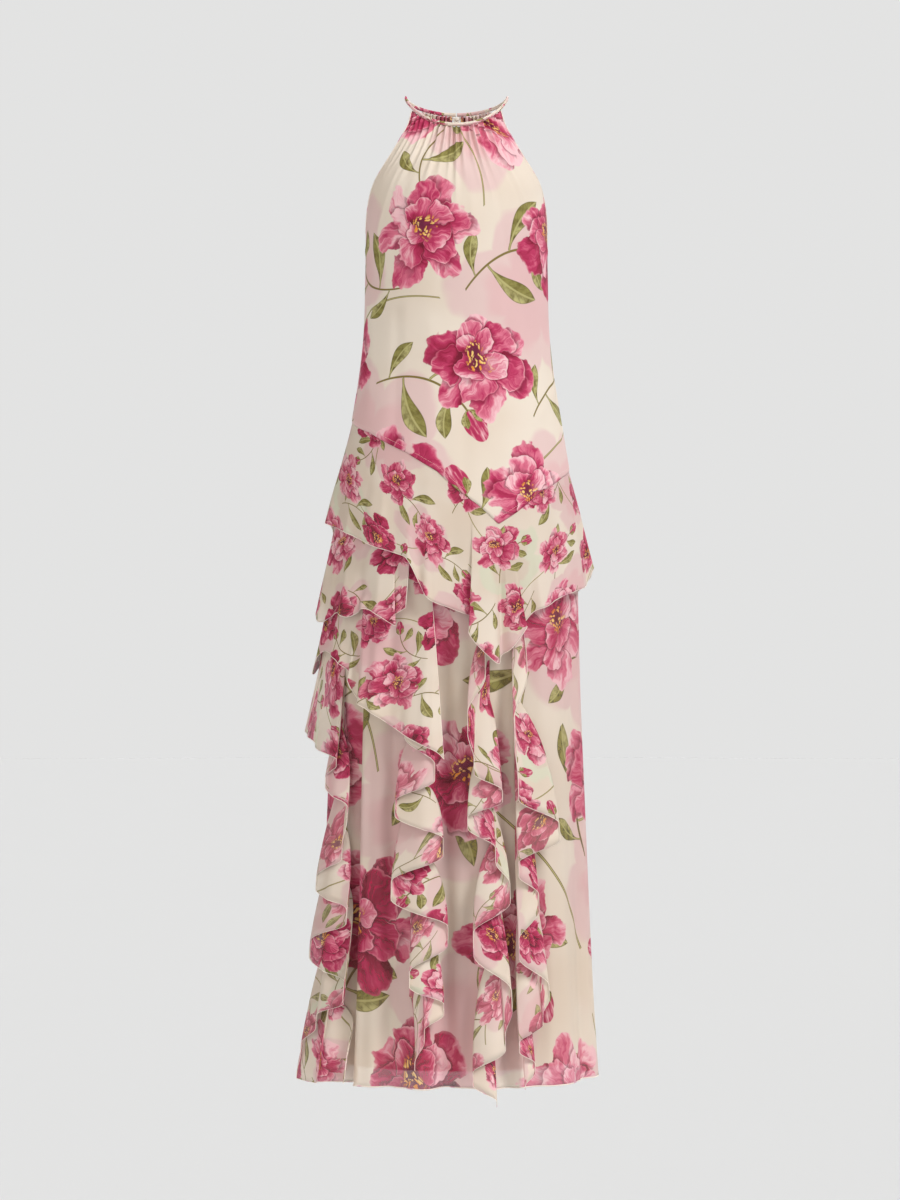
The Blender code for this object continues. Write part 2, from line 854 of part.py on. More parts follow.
def build():
    """Make every piece of the dress."""
    make_bodice_front()
    make_bodice_back()
    make_neckband()
    make_button()
    make_loop()
    make_skirt("skirt_front", -90.0, 90.0)
    make_skirt("skirt_back", 90.0, 270.0)
    make_lining()
    make_hip_flounce("hip_flounce_front", HIP_FLOUNCE_FRONT)
    make_hip_flounce("hip_flounce_back", HIP_FLOUNCE_BACK)
    make_side_flounce("side_flounce_middle", SIDE_FLOUNCE_MIDDLE)
    make_side_flounce("side_flounce_lower", SIDE_FLOUNCE_LOWER)
    make_cascade("cascade_left", CASCADE_LEFT_SEAM, CASCADE_LEFT, CASCADE_LEFT_CORNER)
    make_cascade("cascade_center", CASCADE_CENTER_SEAM, CASCADE_CENTER)
    make_cascade("cascade_right_inner", CASCADE_INNER_SEAM, CASCADE_INNER)
    make_cascade("cascade_right_outer", CASCADE_OUTER_SEAM, CASCADE_OUTER)
    make_cascade("cascade_back_left", CASCADE_BACK_LEFT_SEAM, CASCADE_BACK_LEFT)
    make_cascade("cascade_back_center", CASCADE_BACK_CENTER_SEAM, CASCADE_BACK_CENTER)
    make_cascade("cascade_back_right", CASCADE_BACK_RIGHT_SEAM, CASCADE_BACK_RIGHT)


build()
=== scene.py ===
"""Dressed model of a long halter dress of printed chiffon with flounces and cascades.

Sizes are in millimetres and degrees, and the meshes in metres. The dress body, its pleats
and its seams follow tables, with many points and fine creases.
"""
import math

import bpy
import numpy as np
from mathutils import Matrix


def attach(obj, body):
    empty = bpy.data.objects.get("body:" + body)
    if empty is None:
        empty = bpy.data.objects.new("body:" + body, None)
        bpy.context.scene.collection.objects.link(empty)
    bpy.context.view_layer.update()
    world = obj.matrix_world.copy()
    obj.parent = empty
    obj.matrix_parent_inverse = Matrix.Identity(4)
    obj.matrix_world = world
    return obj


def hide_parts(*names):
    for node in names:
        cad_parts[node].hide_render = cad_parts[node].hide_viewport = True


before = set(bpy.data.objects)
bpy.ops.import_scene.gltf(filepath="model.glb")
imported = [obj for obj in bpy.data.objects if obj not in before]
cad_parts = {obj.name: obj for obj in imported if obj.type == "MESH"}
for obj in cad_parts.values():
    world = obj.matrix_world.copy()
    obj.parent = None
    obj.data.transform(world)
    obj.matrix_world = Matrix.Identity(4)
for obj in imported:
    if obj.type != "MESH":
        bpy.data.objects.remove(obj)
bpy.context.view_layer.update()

# Cloth and seams
MM = 0.001
MM_PER_DEGREE = 2.7
CHIFFON = 0.45
WELD_DISTANCE = 0.00002
SEAM_GAP = 0.3
SEAM_ALLOWANCE = 7.0
SEAM_TURN = 3.0
SEAM_SINK = 1.0
LAYER = 1.7
CREASE_START = 3.6
CREASE_DELAY = 0.1
CREASE_SHARES = (0.7, 0.6)
SKIRT_LIFT = -2.0 * LAYER
HEM_HEIGHT = -1463.0
FOLD_GROWTH = 1.15
LINING_HEM = -1441.0
LINING_GAP = 2.1
LINING_DEPTH = 30.0
LINING_SPREAD = 1.6
FLOUNCE_TUCK = 3.0
FLOUNCE_CURVE = 1.35
WAVE_GROWTH = 1.5
CASCADE_START = 1.4
CASCADE_STAND = 8.0
CASCADE_FLARE = 0.13
CASCADE_TURN = 0.2
CORNER_GROWTH = 3

# Neck
NECK_HALF_WIDTH = 76.0
NECK_DEPTH = 65.0
NECK_DROP_FRONT = 50.0
NECK_DROP_BACK = 15.0
NECK_ROUNDING = 1.3
UNDERARM_HEIGHT = -204.0
SIDE_DEPTH = 110.0
SIDE_INSET = math.degrees(SEAM_GAP / 2 / SIDE_DEPTH)
BAND_HEIGHT = 5.6
BAND_THICKNESS = 3.8
BAND_OPENING = 1.8
BAND_CLOTH_WIDTH = 15
GATHERS_FRONT = 20
GATHERS_BACK = 18
GATHER_DEPTH = 4.7
GATHER_RIDGE = 0.25
GATHER_FADE = 1.6
GATHER_DRIFT = 0.22
DRIFT_WAVES = 5.3
DRIFT_START = 0.7
YOKE_CREASE_STEPS = 4
BUTTON_RADIUS = 3.6
BUTTON_THICKNESS = 4.6
BUTTON_PLEATS = 8
BUTTON_PLEAT_DEPTH = 0.02
BUTTON_TIP = 0.02
BUTTON_CLOTH_STEPS = (0.7, 0.5)
LOOP_WIRE = 0.8

# Wrinkles of the band: depth, waves per degree along it, waves round it
BAND_WRINKLES = ((0.05, 1.9, 2), (0.035, 0.83, -3))

# How deep and how long the gathers are across the neck, from side to side
GATHER_DEPTHS = (0.4, 0.9, 0.6, 1.2, 0.5, 1.2, 0.7, 1.35, 0.6, 1.25, 0.7, 1.15, 0.5, 0.8, 0.4)
GATHER_LENGTHS = (3.2, 5.0, 4.0, 6.6, 4.0, 6.6, 5.2, 7.4, 4.6, 6.8, 4.8, 6.4, 3.8, 4.6, 3.2)

# Sections of the body
# distance below the origin, half width, depth in front, depth behind
BODY = (
    (1463, 210, 153, 153), (1353, 204, 149, 150), (1203, 198, 143, 144), (1053, 193, 137, 139),
    (903, 188, 131, 134), (700, 183, 123, 128), (600, 176, 117, 123), (543, 167, 113, 117),
    (483, 157, 109, 109), (423, 147, 106, 99), (363, 140, 106, 93), (270, 137, 111, 92),
    (205, 136, 111.5, 96),
)

# The slanting hip seam
# angle, height
HIP_SEAM = (
    (-90, -483), (-53, -506), (-27, -536), (-10, -564), (0, -591), (11, -616), (20, -642),
    (30, -624), (44, -595), (66, -572), (90, -558), (120, -584), (148, -612), (162, -634),
    (176, -612), (198, -580), (225, -540), (250, -508), (270, -483),
)

# Rows of the bodice above the underarm
# step, half width, depth, end angle, height at the centre, height at the armhole
FRONT_YOKE = (
    (0, 76, 65, 58.8, -53.2, -24.5), (1, 84, 76, 58.5, -67, -46), (2, 97, 86, 60, -87, -68),
    (3, 110, 95, 63, -107, -91), (4, 121, 102, 67.5, -127, -112),
    (5, 128.5, 107, 73, -147, -131), (6, 132.5, 109.5, 79, -166, -152),
    (7, 135, 111, 84.5, -186, -178), (8, 136, 111.5, 90, -205, -203),
)
BACK_YOKE = (
    (0, 76, 65, 42, -18.2, -13.4), (1, 86, 74, 40, -45, -40), (2, 98, 83, 41.5, -75, -70),
    (3, 111, 89, 47.6, -105, -100), (4, 122, 93, 56.7, -135, -130),
    (5, 130, 95, 70, -164, -160), (6, 134.5, 96, 81.5, -188, -185),
    (7, 136, 96, 90, -205, -203),
)

# Opening down the middle of the back
# height, half width
KEYHOLE = (
    (-104, 0.0), (-97, 5.5), (-85, 8.5), (-65, 8.8), (-40, 7.2), (-15, 6.6),
)

# Pleats of the skirt
# angle, depth at the hem, half width
SKIRT_FOLDS = (
    (-78, 7, 9), (-51, -15, 6.5), (-38, 7, 7), (-27, -5, 5), (-14, 7, 6), (0, -15, 8.5),
    (12, 6, 6), (33, -6, 6), (50, 7, 9), (69, -9, 6), (84, 7, 7), (104, -8, 7), (119, 8, 8),
    (137, -14, 7.5), (152, 7, 7), (171, -11, 7), (186, 9, 8), (204, -14, 8), (222, 7, 8),
    (240, -9, 7), (256, 6, 8),
)

# Flounces sewn into the hip seam
# angle at the seam, angle, height and lift of the hem
HIP_FLOUNCE_FRONT = (
    (-90, -90, -634, 21), (-66, -62, -652, 12), (-46, -42, -672, 15), (-33, -29, -684, 12),
    (-26, -22, -694, 19), (-19, -16.7, -727, 13), (-12, -11.8, -752, 18), (-4, -2, -766, 12),
    (4, 10.4, -784, 12), (9, 5, -801, 26), (16, 16, -844, 34), (20, 19.6, -833, 16),
    (22, 23.5, -822, 28), (25, 29.5, -792, 34), (29, 27, -800, 18), (34, 36, -771, 10),
    (43, 43, -762, 15), (56, 56, -746, 11), (72, 74, -735, 17), (82, 85, -728, 14),
    (90, 90, -705, 26),
)
HIP_FLOUNCE_BACK = (
    (90, 90, -705, 26), (102, 104, -738, 12), (114, 117, -752, 19), (127, 128, -764, 13),
    (139, 143, -792, 12), (145, 139, -806, 27), (156, 154, -850, 33), (161, 160, -838, 20),
    (166, 167, -826, 27), (172, 175, -798, 33), (178, 173, -804, 17), (187, 187, -776, 11),
    (199, 199, -758, 22), (213, 214, -738, 18), (228, 229, -712, 24), (243, 243, -688, 22),
    (257, 257, -650, 12), (270, 270, -634, 21),
)

# Flounces on the skirt
# angle and height of the seam, angle, height and lift of the hem
SIDE_FLOUNCE_MIDDLE = (
    (-22, -660, -22, -764, 23), (-27, -655, -30, -780, 14), (-33, -650, -27, -790, 24),
    (-42, -640, -43, -766, 13), (-52, -630, -54, -778, 20), (-63, -620, -66, -772, 14),
    (-74, -612, -80, -786, 20), (-84, -606, -91, -770, 29), (-95, -604, -97, -752, 18),
    (-107, -604, -108, -764, 24), (-120, -608, -122, -786, 15), (-132, -614, -135, -796, 24),
    (-142, -622, -146, -812, 18),
)
SIDE_FLOUNCE_LOWER = (
    (-12, -716, -5.2, -984, 24), (-16, -716, -9, -972, 23), (-22, -714, -20.6, -952, 25),
    (-30, -712, -30.2, -933, 18), (-38, -710, -39, -914, 24), (-46, -708, -49, -898, 16),
    (-52, -706, -52.8, -874, 24), (-58, -704, -56, -856, 14), (-66, -702, -66, -838, 19),
    (-77, -700, -79, -830, 17), (-87, -698, -91, -864, 33), (-99, -698, -101, -850, 20),
    (-112, -698, -113, -868, 27), (-126, -700, -128, -896, 18), (-140, -704, -142, -930, 25),
    (-152, -708, -154, -956, 16), (-162, -712, -165, -986, 22),
)

# A turn of a cascade whose free edge stands out further, and how far
CASCADE_CORNERS = {"cascade_left": (1, 12.0)}

# Each cascade: angle, top and foot of its seam, then angle and height of each turn of its edge
CASCADES = {
    "cascade_left": ((-63, -760, -1350), (
        (-90, -860), (-91, -950), (-78, -966), (-58, -992), (-67, -1020), (-52, -1066),
        (-54, -1124), (-70, -1172), (-50, -1216), (-72, -1268), (-47, -1330), (-63, -1374),
        (-73, -1418), (-75, -1462), (-62, -1464), (-45, -1455),
    )),
    "cascade_center": ((-20, -860, -1330), (
        (-22, -940), (-9, -1004), (-26, -1056), (-5.5, -1110), (-27, -1175), (-3.5, -1239),
        (-18, -1304), (-5, -1346), (-12, -1380), (-15.5, -1432),
    )),
    "cascade_right_inner": ((15, -760, -1340), (
        (12, -846), (4.5, -934), (7, -996), (18.5, -1038), (4.5, -1074), (15.5, -1122),
        (21.5, -1176), (6.5, -1249), (21, -1336), (18, -1392), (6, -1446), (14.5, -1484),
    )),
    "cascade_right_outer": ((27, -760, -1340), (
        (31, -840), (24, -948), (25, -1030), (43, -1092), (24.5, -1144), (33.5, -1190),
        (24, -1258), (36.5, -1326), (34, -1362), (23.5, -1400), (30.5, -1432), (26, -1462),
    )),
    "cascade_back_left": ((216, -860, -1330), (
        (220, -960), (206, -1032), (227, -1088), (205, -1150), (226, -1222), (207, -1290),
        (225, -1350), (208, -1402), (218, -1462),
    )),
    "cascade_back_center": ((157.5, -800, -1340), (
        (160, -880), (148, -946), (167, -1004), (147, -1070), (166, -1140), (148, -1212),
        (167, -1280), (149, -1350), (165, -1410), (154, -1476),
    )),
    "cascade_back_right": ((126, -740, -1340), (
        (129, -830), (116, -900), (135, -968), (115, -1046), (135, -1124), (116, -1200),
        (134, -1272), (117, -1344), (132, -1406), (124, -1461),
    )),
}

# Soft creases of the bodice, ridges and troughs
# angle and height of one end, angle and height of the other, half width, depth
BODICE_CREASES = (
    (-46, -120, -62, -228, 7, 1.3), (-34, -110, -44, -262, 9, -1.2),
    (-20, -118, -27, -240, 7, 1.0), (-6, -112, -10, -300, 9, -0.9), (8, -120, 12, -262, 8, 1.1),
    (24, -116, 33, -248, 8, -1.2), (40, -112, 58, -236, 7, 1.3), (-82, -232, -58, -258, 9, 1.7),
    (-84, -252, -60, -292, 10, -1.3), (82, -232, 60, -262, 9, 1.6),
    (84, -256, 62, -300, 10, -1.4), (-66, -300, -58, -470, 13, 1.2),
    (-40, -330, -34, -520, 12, -1.4), (-16, -350, -14, -545, 13, 1.2),
    (6, -380, 4, -580, 12, -1.3), (30, -330, 26, -600, 14, 1.4), (52, -320, 50, -560, 13, -1.4),
    (74, -300, 72, -545, 12, 1.3), (-78, -400, -50, -452, 11, 0.9),
    (80, -430, 48, -486, 11, 1.0), (104, -230, 122, -262, 9, 1.5),
    (108, -300, 112, -520, 13, -1.3), (130, -330, 134, -560, 13, 1.3),
    (140, -230, 150, -360, 10, -1.2), (160, -190, 163, -380, 11, 1.1),
    (176, -210, 178, -420, 9, -1.5), (197, -200, 194, -390, 11, 1.2),
    (218, -230, 208, -360, 10, -1.2), (226, -330, 222, -520, 13, 1.3),
    (250, -300, 246, -470, 13, -1.3), (256, -230, 238, -262, 9, 1.5),
    (150, -400, 210, -432, 12, 1.2),
)

# Long soft creases of the skirt, down to its hem
# angle and height of the top, angle at the hem, half width, depth
SKIRT_CREASES = (
    (-84, -640, -86, 9, 2.0), (-70, -820, -66, 10, -2.4), (-59, -700, -60, 8, 2.2),
    (-50, -680, -51, 8, -6.0), (-46, -760, -45, 9, 9.0), (-31, -760, -30, 9, -7.0),
    (-20, -680, -21, 8, -2.2), (-12, -640, -12, 7, 3.0), (-6, -620, -5, 11, -13.0),
    (7, -660, 6, 8, -4.0), (20, -660, 21, 9, -7.0), (28, -820, 27, 7, 1.8),
    (41, -640, 42, 10, 1.8), (60, -680, 59, 10, -2.0), (75, -640, 77, 8, 2.0),
    (88, -760, 89, 8, -1.6), (97, -660, 96, 8, 2.0), (111, -700, 112, 8, -2.2),
    (128, -760, 127, 9, 2.4), (145, -720, 146, 8, -2.0), (161, -760, 160, 9, 2.2),
    (178, -700, 179, 8, 2.0), (195, -740, 194, 8, -2.2), (213, -700, 214, 9, 2.2),
    (231, -720, 231, 9, -2.0), (248, -660, 249, 9, 2.2), (263, -700, 262, 8, -1.8),
)

# Small waves of the flounces, strongest at the hem
# angle, depth, half width
FLOUNCE_WAVES = (
    (-158, 2.6, 3.2), (-147, -2.4, 2.8), (-137, 2.2, 3.0), (-126, 2.8, 2.6), (-117, -2.6, 3.0),
    (-104, 2.4, 3.2), (-93, -2.2, 2.4), (-82, 2.6, 2.8), (-71, -2.8, 2.6), (-60, 2.4, 2.4),
    (-48, -2.2, 2.4), (-37, 2.6, 2.2), (-24, -2.0, 2.2), (-14, 2.2, 2.2), (-1, -2.4, 2.4),
    (39, 2.4, 2.2), (49, -2.6, 2.6), (62, 2.8, 2.8), (78, -2.2, 2.6), (96, 2.4, 2.8),
    (108, -2.6, 3.0), (121, 2.4, 2.8), (133, -2.4, 2.6), (181, 2.6, 2.8), (193, -2.6, 2.6),
)

# Mesh density
BODICE_COLUMNS = 200
BODICE_ROWS = 90
YOKE_FINE_STEPS = 3
YOKE_FINE_ROWS = 26
FRONT_YOKE_ROWS = 26
BACK_YOKE_ROWS = 24
SKIRT_COLUMNS = 150
SKIRT_ROWS = 150
LINING_COLUMNS = 150
LINING_ROWS = 40
FLOUNCE_STEPS = 14
FLOUNCE_ROWS = 34
CASCADE_STEPS = 18
CASCADE_ROWS = 22
BAND_STEPS = 180
BAND_SIDES = 14
BUTTON_RINGS = 18
BUTTON_SIDES = 32
LOOP_STEPS = 30
LOOP_SIDES = 10
HEM_SIDES = 6
STITCH_SIDES = 5

# Rolled edges and stitches
HEM_RADIUS = 0.42
SKIRT_HEM_RADIUS = 1.0
LINING_HEM_RADIUS = 1.1
BINDING_RADIUS = 0.9
STITCH_LENGTH = 1.9
STITCH_PITCH = 2.6
STITCH_RADIUS = 0.15
STITCH_COLUMN = 4
SEAM_STITCH_ROW = -3
BAND_STITCH = -0.55
STITCH_LIFT = 0.05

# A stitch's thread: share of its length, height above the cloth
STITCH_SHAPE = ((0.0, -0.25), (0.15, 0.1), (0.5, 0.2), (0.85, 0.1), (1.0, -0.25))

# Print: how large it is on each cloth
LARGE_PRINT = 1.0
SKIRT_PRINT = 1.17
SMALL_PRINT = 0.47
BAND_PRINT = 0.7 * SMALL_PRINT

# Lattices of the print: size of a cell in metres of flat cloth, slant, shift, size of a motif
SHADOW_LATTICE = (0.300, 12, (3.3, 7.6, 0), 0.41)
STEM_LATTICE = (0.330, -17, (6.4, 1.15, 0), 1.0)
SPRIG_LATTICE = (0.212, 31, (1.85, 4.4, 0), 0.84)
BLOOM_LATTICE = (0.212, 24, (5.15, 2.3, 0), 0.405)
LATTICE_JITTER = 0.11

# Rings of petals of a bloom: petals, reach, dip between them, unevenness, phase, shift
BLOOM_RINGS = (
    (6, 1.06, 0.40, 0.20, 0.0, (0, 0, 0)), (5, 0.80, 0.30, 0.14, 0.37, (-0.08, -0.05, 0)),
    (4, 0.52, 0.18, 0.10, 0.71, (-0.14, -0.06, 0)),
)
BLOOM_HEART = (-0.14, -0.06, 0)

# Leaves of a sprig: start, angle, length, half width, bend
SPRIG_LEAVES = (
    ((-0.24, -0.015), 44, 0.50, 0.155, 0.42), ((-0.04, -0.068), -38, 0.50, 0.145, -0.50),
    ((0.17, -0.043), 76, 0.34, 0.18, 0.42), ((-0.35, 0.046), -76, 0.34, 0.16, -0.42),
)
BUD_PLACE = (0.335, 0.040, 0)
BUD_TURN = -0.62
BUD_LEAVES = (((0.31, 0.02), 60, 0.15, 0.22, 0.5), ((0.31, 0.02), 14, 0.15, 0.22, -0.5))

# Sheer cloth: what covers, and how much its colour is raised as painted light, for the light
# passing through
SKIRT_COVER = 0.62
FLOUNCE_COVER = 0.7
SHEER_PAINTED_LIGHT = 0.32

# How much paler the wrong side is, and how fine the weave
REVERSE_FADE = 0.14
WEAVE = 2600.0

# Where on the printed cloth a piece is cut, in millimetres across and down
CUTS = {
    "front_panel": (30.0, 75.0), "back_panel": (-28.0, 250.0),
    "skirt_back_cloth": (417.0, 288.0), "hip_back_flounce": (263.0, 181.0),
    "middle_flounce": (152.0, 94.0), "lower_flounce": (-127.0, 236.0),
    "cascade_left_ruffle": (61.0, 143.0), "cascade_right_inner_ruffle": (118.0, -47.0),
    "cascade_right_outer_ruffle": (-83.0, 64.0), "cascade_back_left_ruffle": (209.0, 31.0),
    "cascade_back_center_ruffle": (-157.0, 122.0), "cascade_back_right_ruffle": (36.0, 215.0),
}

# Stage and camera
FLOOR_HEIGHT = -2.4
STAGE_SIZE = 60.0
BACKGROUND = 0.768
SURROUND = 0.28
WARM = (1.0, 0.95, 0.88)
WHITE = (1, 1, 1)
FLOOR_TONE = (0.7097, 0.7222, 0.7367)
FLOOR_GRAIN = 0.004
CAMERA_PLACE = (-0.00975, -4.5, -0.753)
FRAME_HEIGHT = 1.8
SENSOR = 24.0

# Lights: name, strength, tint, softness, turn
LIGHTS = (
    ("key", 2.2, WHITE, 20, (45, 0, 50)),
    ("fill", 0.8, WARM, 60, (68, 0, -35)),
    ("back", 1.05, WHITE, 60, (-50, 0, -25)),
)

# Keeps the length of a vector from nought
SMALLEST_LENGTH = 1e-6

# Takes the height out of a vector
LEVEL = (1.0, 1.0, 0.0)

# Middle of three random numbers
MIDDLE = (0.5, 0.5, 0.5)


def follow(rows, at):
    """Smooth values of a table's later columns, at places along its first one."""
    table = np.array(sorted(rows), float)
    keys = table[:, 0]
    values = table[:, 1:]
    slopes = np.gradient(values, keys, axis=0)
    at = np.clip(at, keys[0], keys[-1])
    i = np.clip(np.searchsorted(keys, at, side="right") - 1, 0, len(keys) - 2)
    width = (keys[i + 1] - keys[i])[..., None]
    s = (at - keys[i])[..., None] / width
    start = values[i] * (1 + 2 * s) * (1 - s) ** 2 + slopes[i] * width * s * (1 - s) ** 2
    end = values[i + 1] * (3 - 2 * s) * s ** 2 - slopes[i + 1] * width * (1 - s) * s ** 2
    return np.moveaxis(start + end, -1, 0)


def ease(x):
    """A smooth step from 0 to 1."""
    x = np.clip(x, 0.0, 1.0)
    return x * x * (3 - 2 * x)


def hip_seam(angle):
    """Height of the hip seam at an angle."""
    return np.interp(np.mod(angle + 90.0, 360.0) - 90.0, *zip(*HIP_SEAM))


def joined(*parts):
    """Vectors or places from their parts."""
    return np.stack(np.broadcast_arrays(*parts), axis=-1)


def unit(vectors):
    """The same vectors, each of length one."""
    size = np.linalg.norm(vectors, axis=-1, keepdims=True)
    return vectors / np.maximum(size, SMALLEST_LENGTH)


def looped(grid):
    """A grid whose first column follows its last one again."""
    return np.concatenate([grid, grid[:, :1]], axis=1)


def circle(sides):
    """Angles all round, in radians."""
    return np.arange(sides) * math.tau / sides


def section_point(angle, height, half_width, front, back, lift):
    """A point of an oval section, moved out by the lift."""
    turn = np.radians(angle)
    depth = np.where(np.cos(turn) > 0, front, back)
    across = np.sin(turn) / half_width
    along = -np.cos(turn) / depth
    length = np.hypot(across, along)
    x = half_width * np.sin(turn) + lift * across / length
    y = -depth * np.cos(turn) + lift * along / length
    return joined(x, y, height)


def body_point(angle, height, lift):
    """A point on the dress body below the arms."""
    half_width, front, back = follow(BODY, -height)
    return section_point(angle, height, half_width, front, back, lift)


def apart(angle, centre):
    """Degrees from a centre, from -180 to 180."""
    return np.mod(angle - centre + 180.0, 360.0) - 180.0


def waves(rows, angle):
    """Sum of soft waves round the body, each with an own place, depth and width."""
    return sum(depth * np.exp(-(apart(angle, centre) / half_width) ** 2)
               for centre, depth, half_width in rows)


def skirt_point(angle, height, lift):
    """A point lifted off the pleated skirt, whose pleats deepen toward the hem."""
    seam = hip_seam(angle)
    growth = np.clip((seam - height) / (seam - HEM_HEIGHT), 0, 1) ** FOLD_GROWTH
    return body_point(angle, height, SKIRT_LIFT + waves(SKIRT_FOLDS, angle) * growth + lift)


def ring_height(angle):
    """Height of the neckband at an angle."""
    level = np.cos(np.radians(angle))
    drop = np.where(level > 0, NECK_DROP_FRONT, NECK_DROP_BACK)
    return -drop * np.abs(level) ** NECK_ROUNDING


def creases(rows, angle, height):
    """Sum of soft creases, each with an own place, width and depth."""
    total = 0
    for from_angle, from_height, to_angle, to_height, half_width, depth in rows:
        run = np.array([(to_angle - from_angle) * MM_PER_DEGREE, to_height - from_height])
        across = apart(angle, from_angle) * MM_PER_DEGREE
        down = height - from_height
        t = np.clip((across * run[0] + down * run[1]) / (run @ run), 0, 1)
        away = np.hypot(across - t * run[0], down - t * run[1])
        total = total + depth * np.exp(-(away / half_width) ** 2)
    return total


def skirt_creases(angle, height):
    """Depth of the skirt's long creases, which deepen from the hip seam down."""
    top = hip_seam(angle) + SEAM_ALLOWANCE
    share = np.clip((top - height) / (top - HEM_HEIGHT), 0, 1)
    first, more = CREASE_SHARES
    depth = ease(share * CREASE_START - CREASE_DELAY) * (first + more * share)
    rows = [(start, high, end, HEM_HEIGHT, *size) for start, high, end, *size in SKIRT_CREASES]
    return creases(rows, angle, height) * depth


def add_object(name, data):
    """A mesh, light or camera in the scene."""
    made = bpy.data.objects.new(name, data)
    bpy.context.scene.collection.objects.link(made)
    return made


def make_object(name, points, quads, materials, uvs):
    """A smooth mesh object from groups of points in millimetres, of quads and of UVs."""
    mesh = bpy.data.meshes.new(name)
    mesh.from_pydata(np.concatenate(points) * MM, [], np.concatenate(quads).tolist())
    uvs = np.concatenate(uvs).ravel()
    mesh.uv_layers.new(name="cloth").data.foreach_set("uv", uvs)
    mesh.shade_smooth()
    for material in materials:
        mesh.materials.append(material)
    made = add_object(name, mesh)
    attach(made, "root")
    return made


def corners(index):
    """Quads of a grid of vertex numbers."""
    parts = [index[:-1, :-1], index[1:, :-1], index[1:, 1:], index[:-1, 1:]]
    return np.stack(parts, axis=-1).reshape(-1, 4)


def numbered(rows, columns, start=0):
    """A grid of numbers in order."""
    return start + np.arange(rows * columns).reshape(rows, columns)


def placed(cloth):
    """Where the corners of a grid's quads lie on the cloth."""
    return cloth.reshape(-1, 2)[corners(numbered(*cloth.shape[:2]))]


def ringed(u, v, start=0):
    """Quads round a tube's rings, and where their corners lie on the cloth."""
    cloth = joined(u, v)
    index = numbered(len(cloth), cloth.shape[1] - 1, start)
    return corners(looped(index)), placed(cloth)


def cloth_object(name, grids, cloths, materials):
    """A thin shell from grids of points, with places on the flat cloth as UVs.

    The materials are the right side and the wrong side. A grid that closes round has one
    more column of places.
    """
    quads = []
    uvs = []
    start = 0
    for grid, cloth in zip(grids, cloths):
        index = numbered(*grid.shape[:2], start)
        quads.append(corners(looped(index) if cloth.shape[1] > grid.shape[1] else index))
        uvs.append(placed(cloth + CUTS.get(name, (0.0, 0.0))) * MM)
        start += index.size
    made = make_object(name, [grid.reshape(-1, 3) for grid in grids], quads, materials, uvs)
    weld = made.modifiers.new("weld", "WELD")
    weld.merge_threshold = WELD_DISTANCE
    wall = made.modifiers.new("wall", "SOLIDIFY")
    wall.thickness = CHIFFON * MM
    wall.offset = -1.0
    wall.material_offset = 1
    wall.material_offset_rim = 0
    return made


def lengths(points, axis):
    """Distances along a grid's rows or columns, from its first one."""
    step = np.linalg.norm(np.diff(points, axis=axis), axis=-1)
    start = np.zeros_like(np.take(step, [0], axis=axis))
    return np.concatenate([start, np.cumsum(step, axis=axis)], axis=axis)


def level_lengths(grid):
    """Level distances along a grid's rows, from the middle column."""
    across = lengths(grid * LEVEL, 1)
    return across - across[:, across.shape[1] // 2, None]


def flat_cloth(grid):
    """Where each point lies on the cut cloth: across from the middle, and down."""
    return joined(level_lengths(grid), -grid[..., 2])


def flared_cloth(grid):
    """The same for a flounce, whose way down is measured along the cloth."""
    return joined(level_lengths(grid), lengths(grid, 0) - grid[:1, :, 2])


def spiral_cloth(grid):
    """The same for a cascade, which is cut as a ring: rows run along the rings."""
    inner = lengths(grid[:1], 1)[0]
    outer = lengths(grid[-1:], 1)[0]
    down = lengths(grid, 0)
    whole = (outer[-1] - inner[-1]) / down[-1].mean()
    radius = inner[-1] / whole + down
    turn = whole * (0.5 * (inner / inner[-1] + outer / outer[-1]))
    return joined(radius * np.cos(turn), radius * np.sin(turn))


def tube(name, paths, radius, sides, material):
    """Round rolls along lines of points."""
    points = []
    quads = []
    uvs = []
    start = 0
    around = circle(sides)[:, None]
    turn = np.linspace(0, math.tau, sides + 1)
    for path in paths:
        along = unit(np.gradient(path, axis=0))
        out = path * LEVEL
        out = unit(out - along * (out * along).sum(axis=1, keepdims=True))
        side = np.cross(along, out)
        ring = np.cos(around) * out[:, None] * radius + np.sin(around) * side[:, None] * radius
        points.append((path[:, None] + ring).reshape(-1, 3))
        far = lengths(path[None], 1)[0]
        these, uv = ringed(far[:, None] * MM, turn * radius * MM, start)
        quads.append(these)
        uvs.append(uv)
        start += len(path) * sides
    return make_object(name, points, quads, [material], uvs)


def stitches(name, lines, material):
    """Short threads along lines of points that lie on the cloth."""
    places, heights = np.array(STITCH_SHAPE).T[:, :, None]
    places = places * (STITCH_LENGTH / STITCH_PITCH)
    paths = []
    for line in lines:
        far = lengths(line[None], 1)[0]
        at = np.arange(0, far[-1], STITCH_PITCH)
        fine = joined(*(np.interp(at, far, column) for column in line.T))
        for start, end in zip(fine, fine[1:]):
            paths.append(start + (end - start) * places + unit(start * LEVEL) * heights)
    return tube(name, paths, STITCH_RADIUS, STITCH_SIDES, material)


def shares(rows):
    """Shares of the way down a grid, from 0 to 1."""
    return np.linspace(0, 1, rows + 1)[:, None]


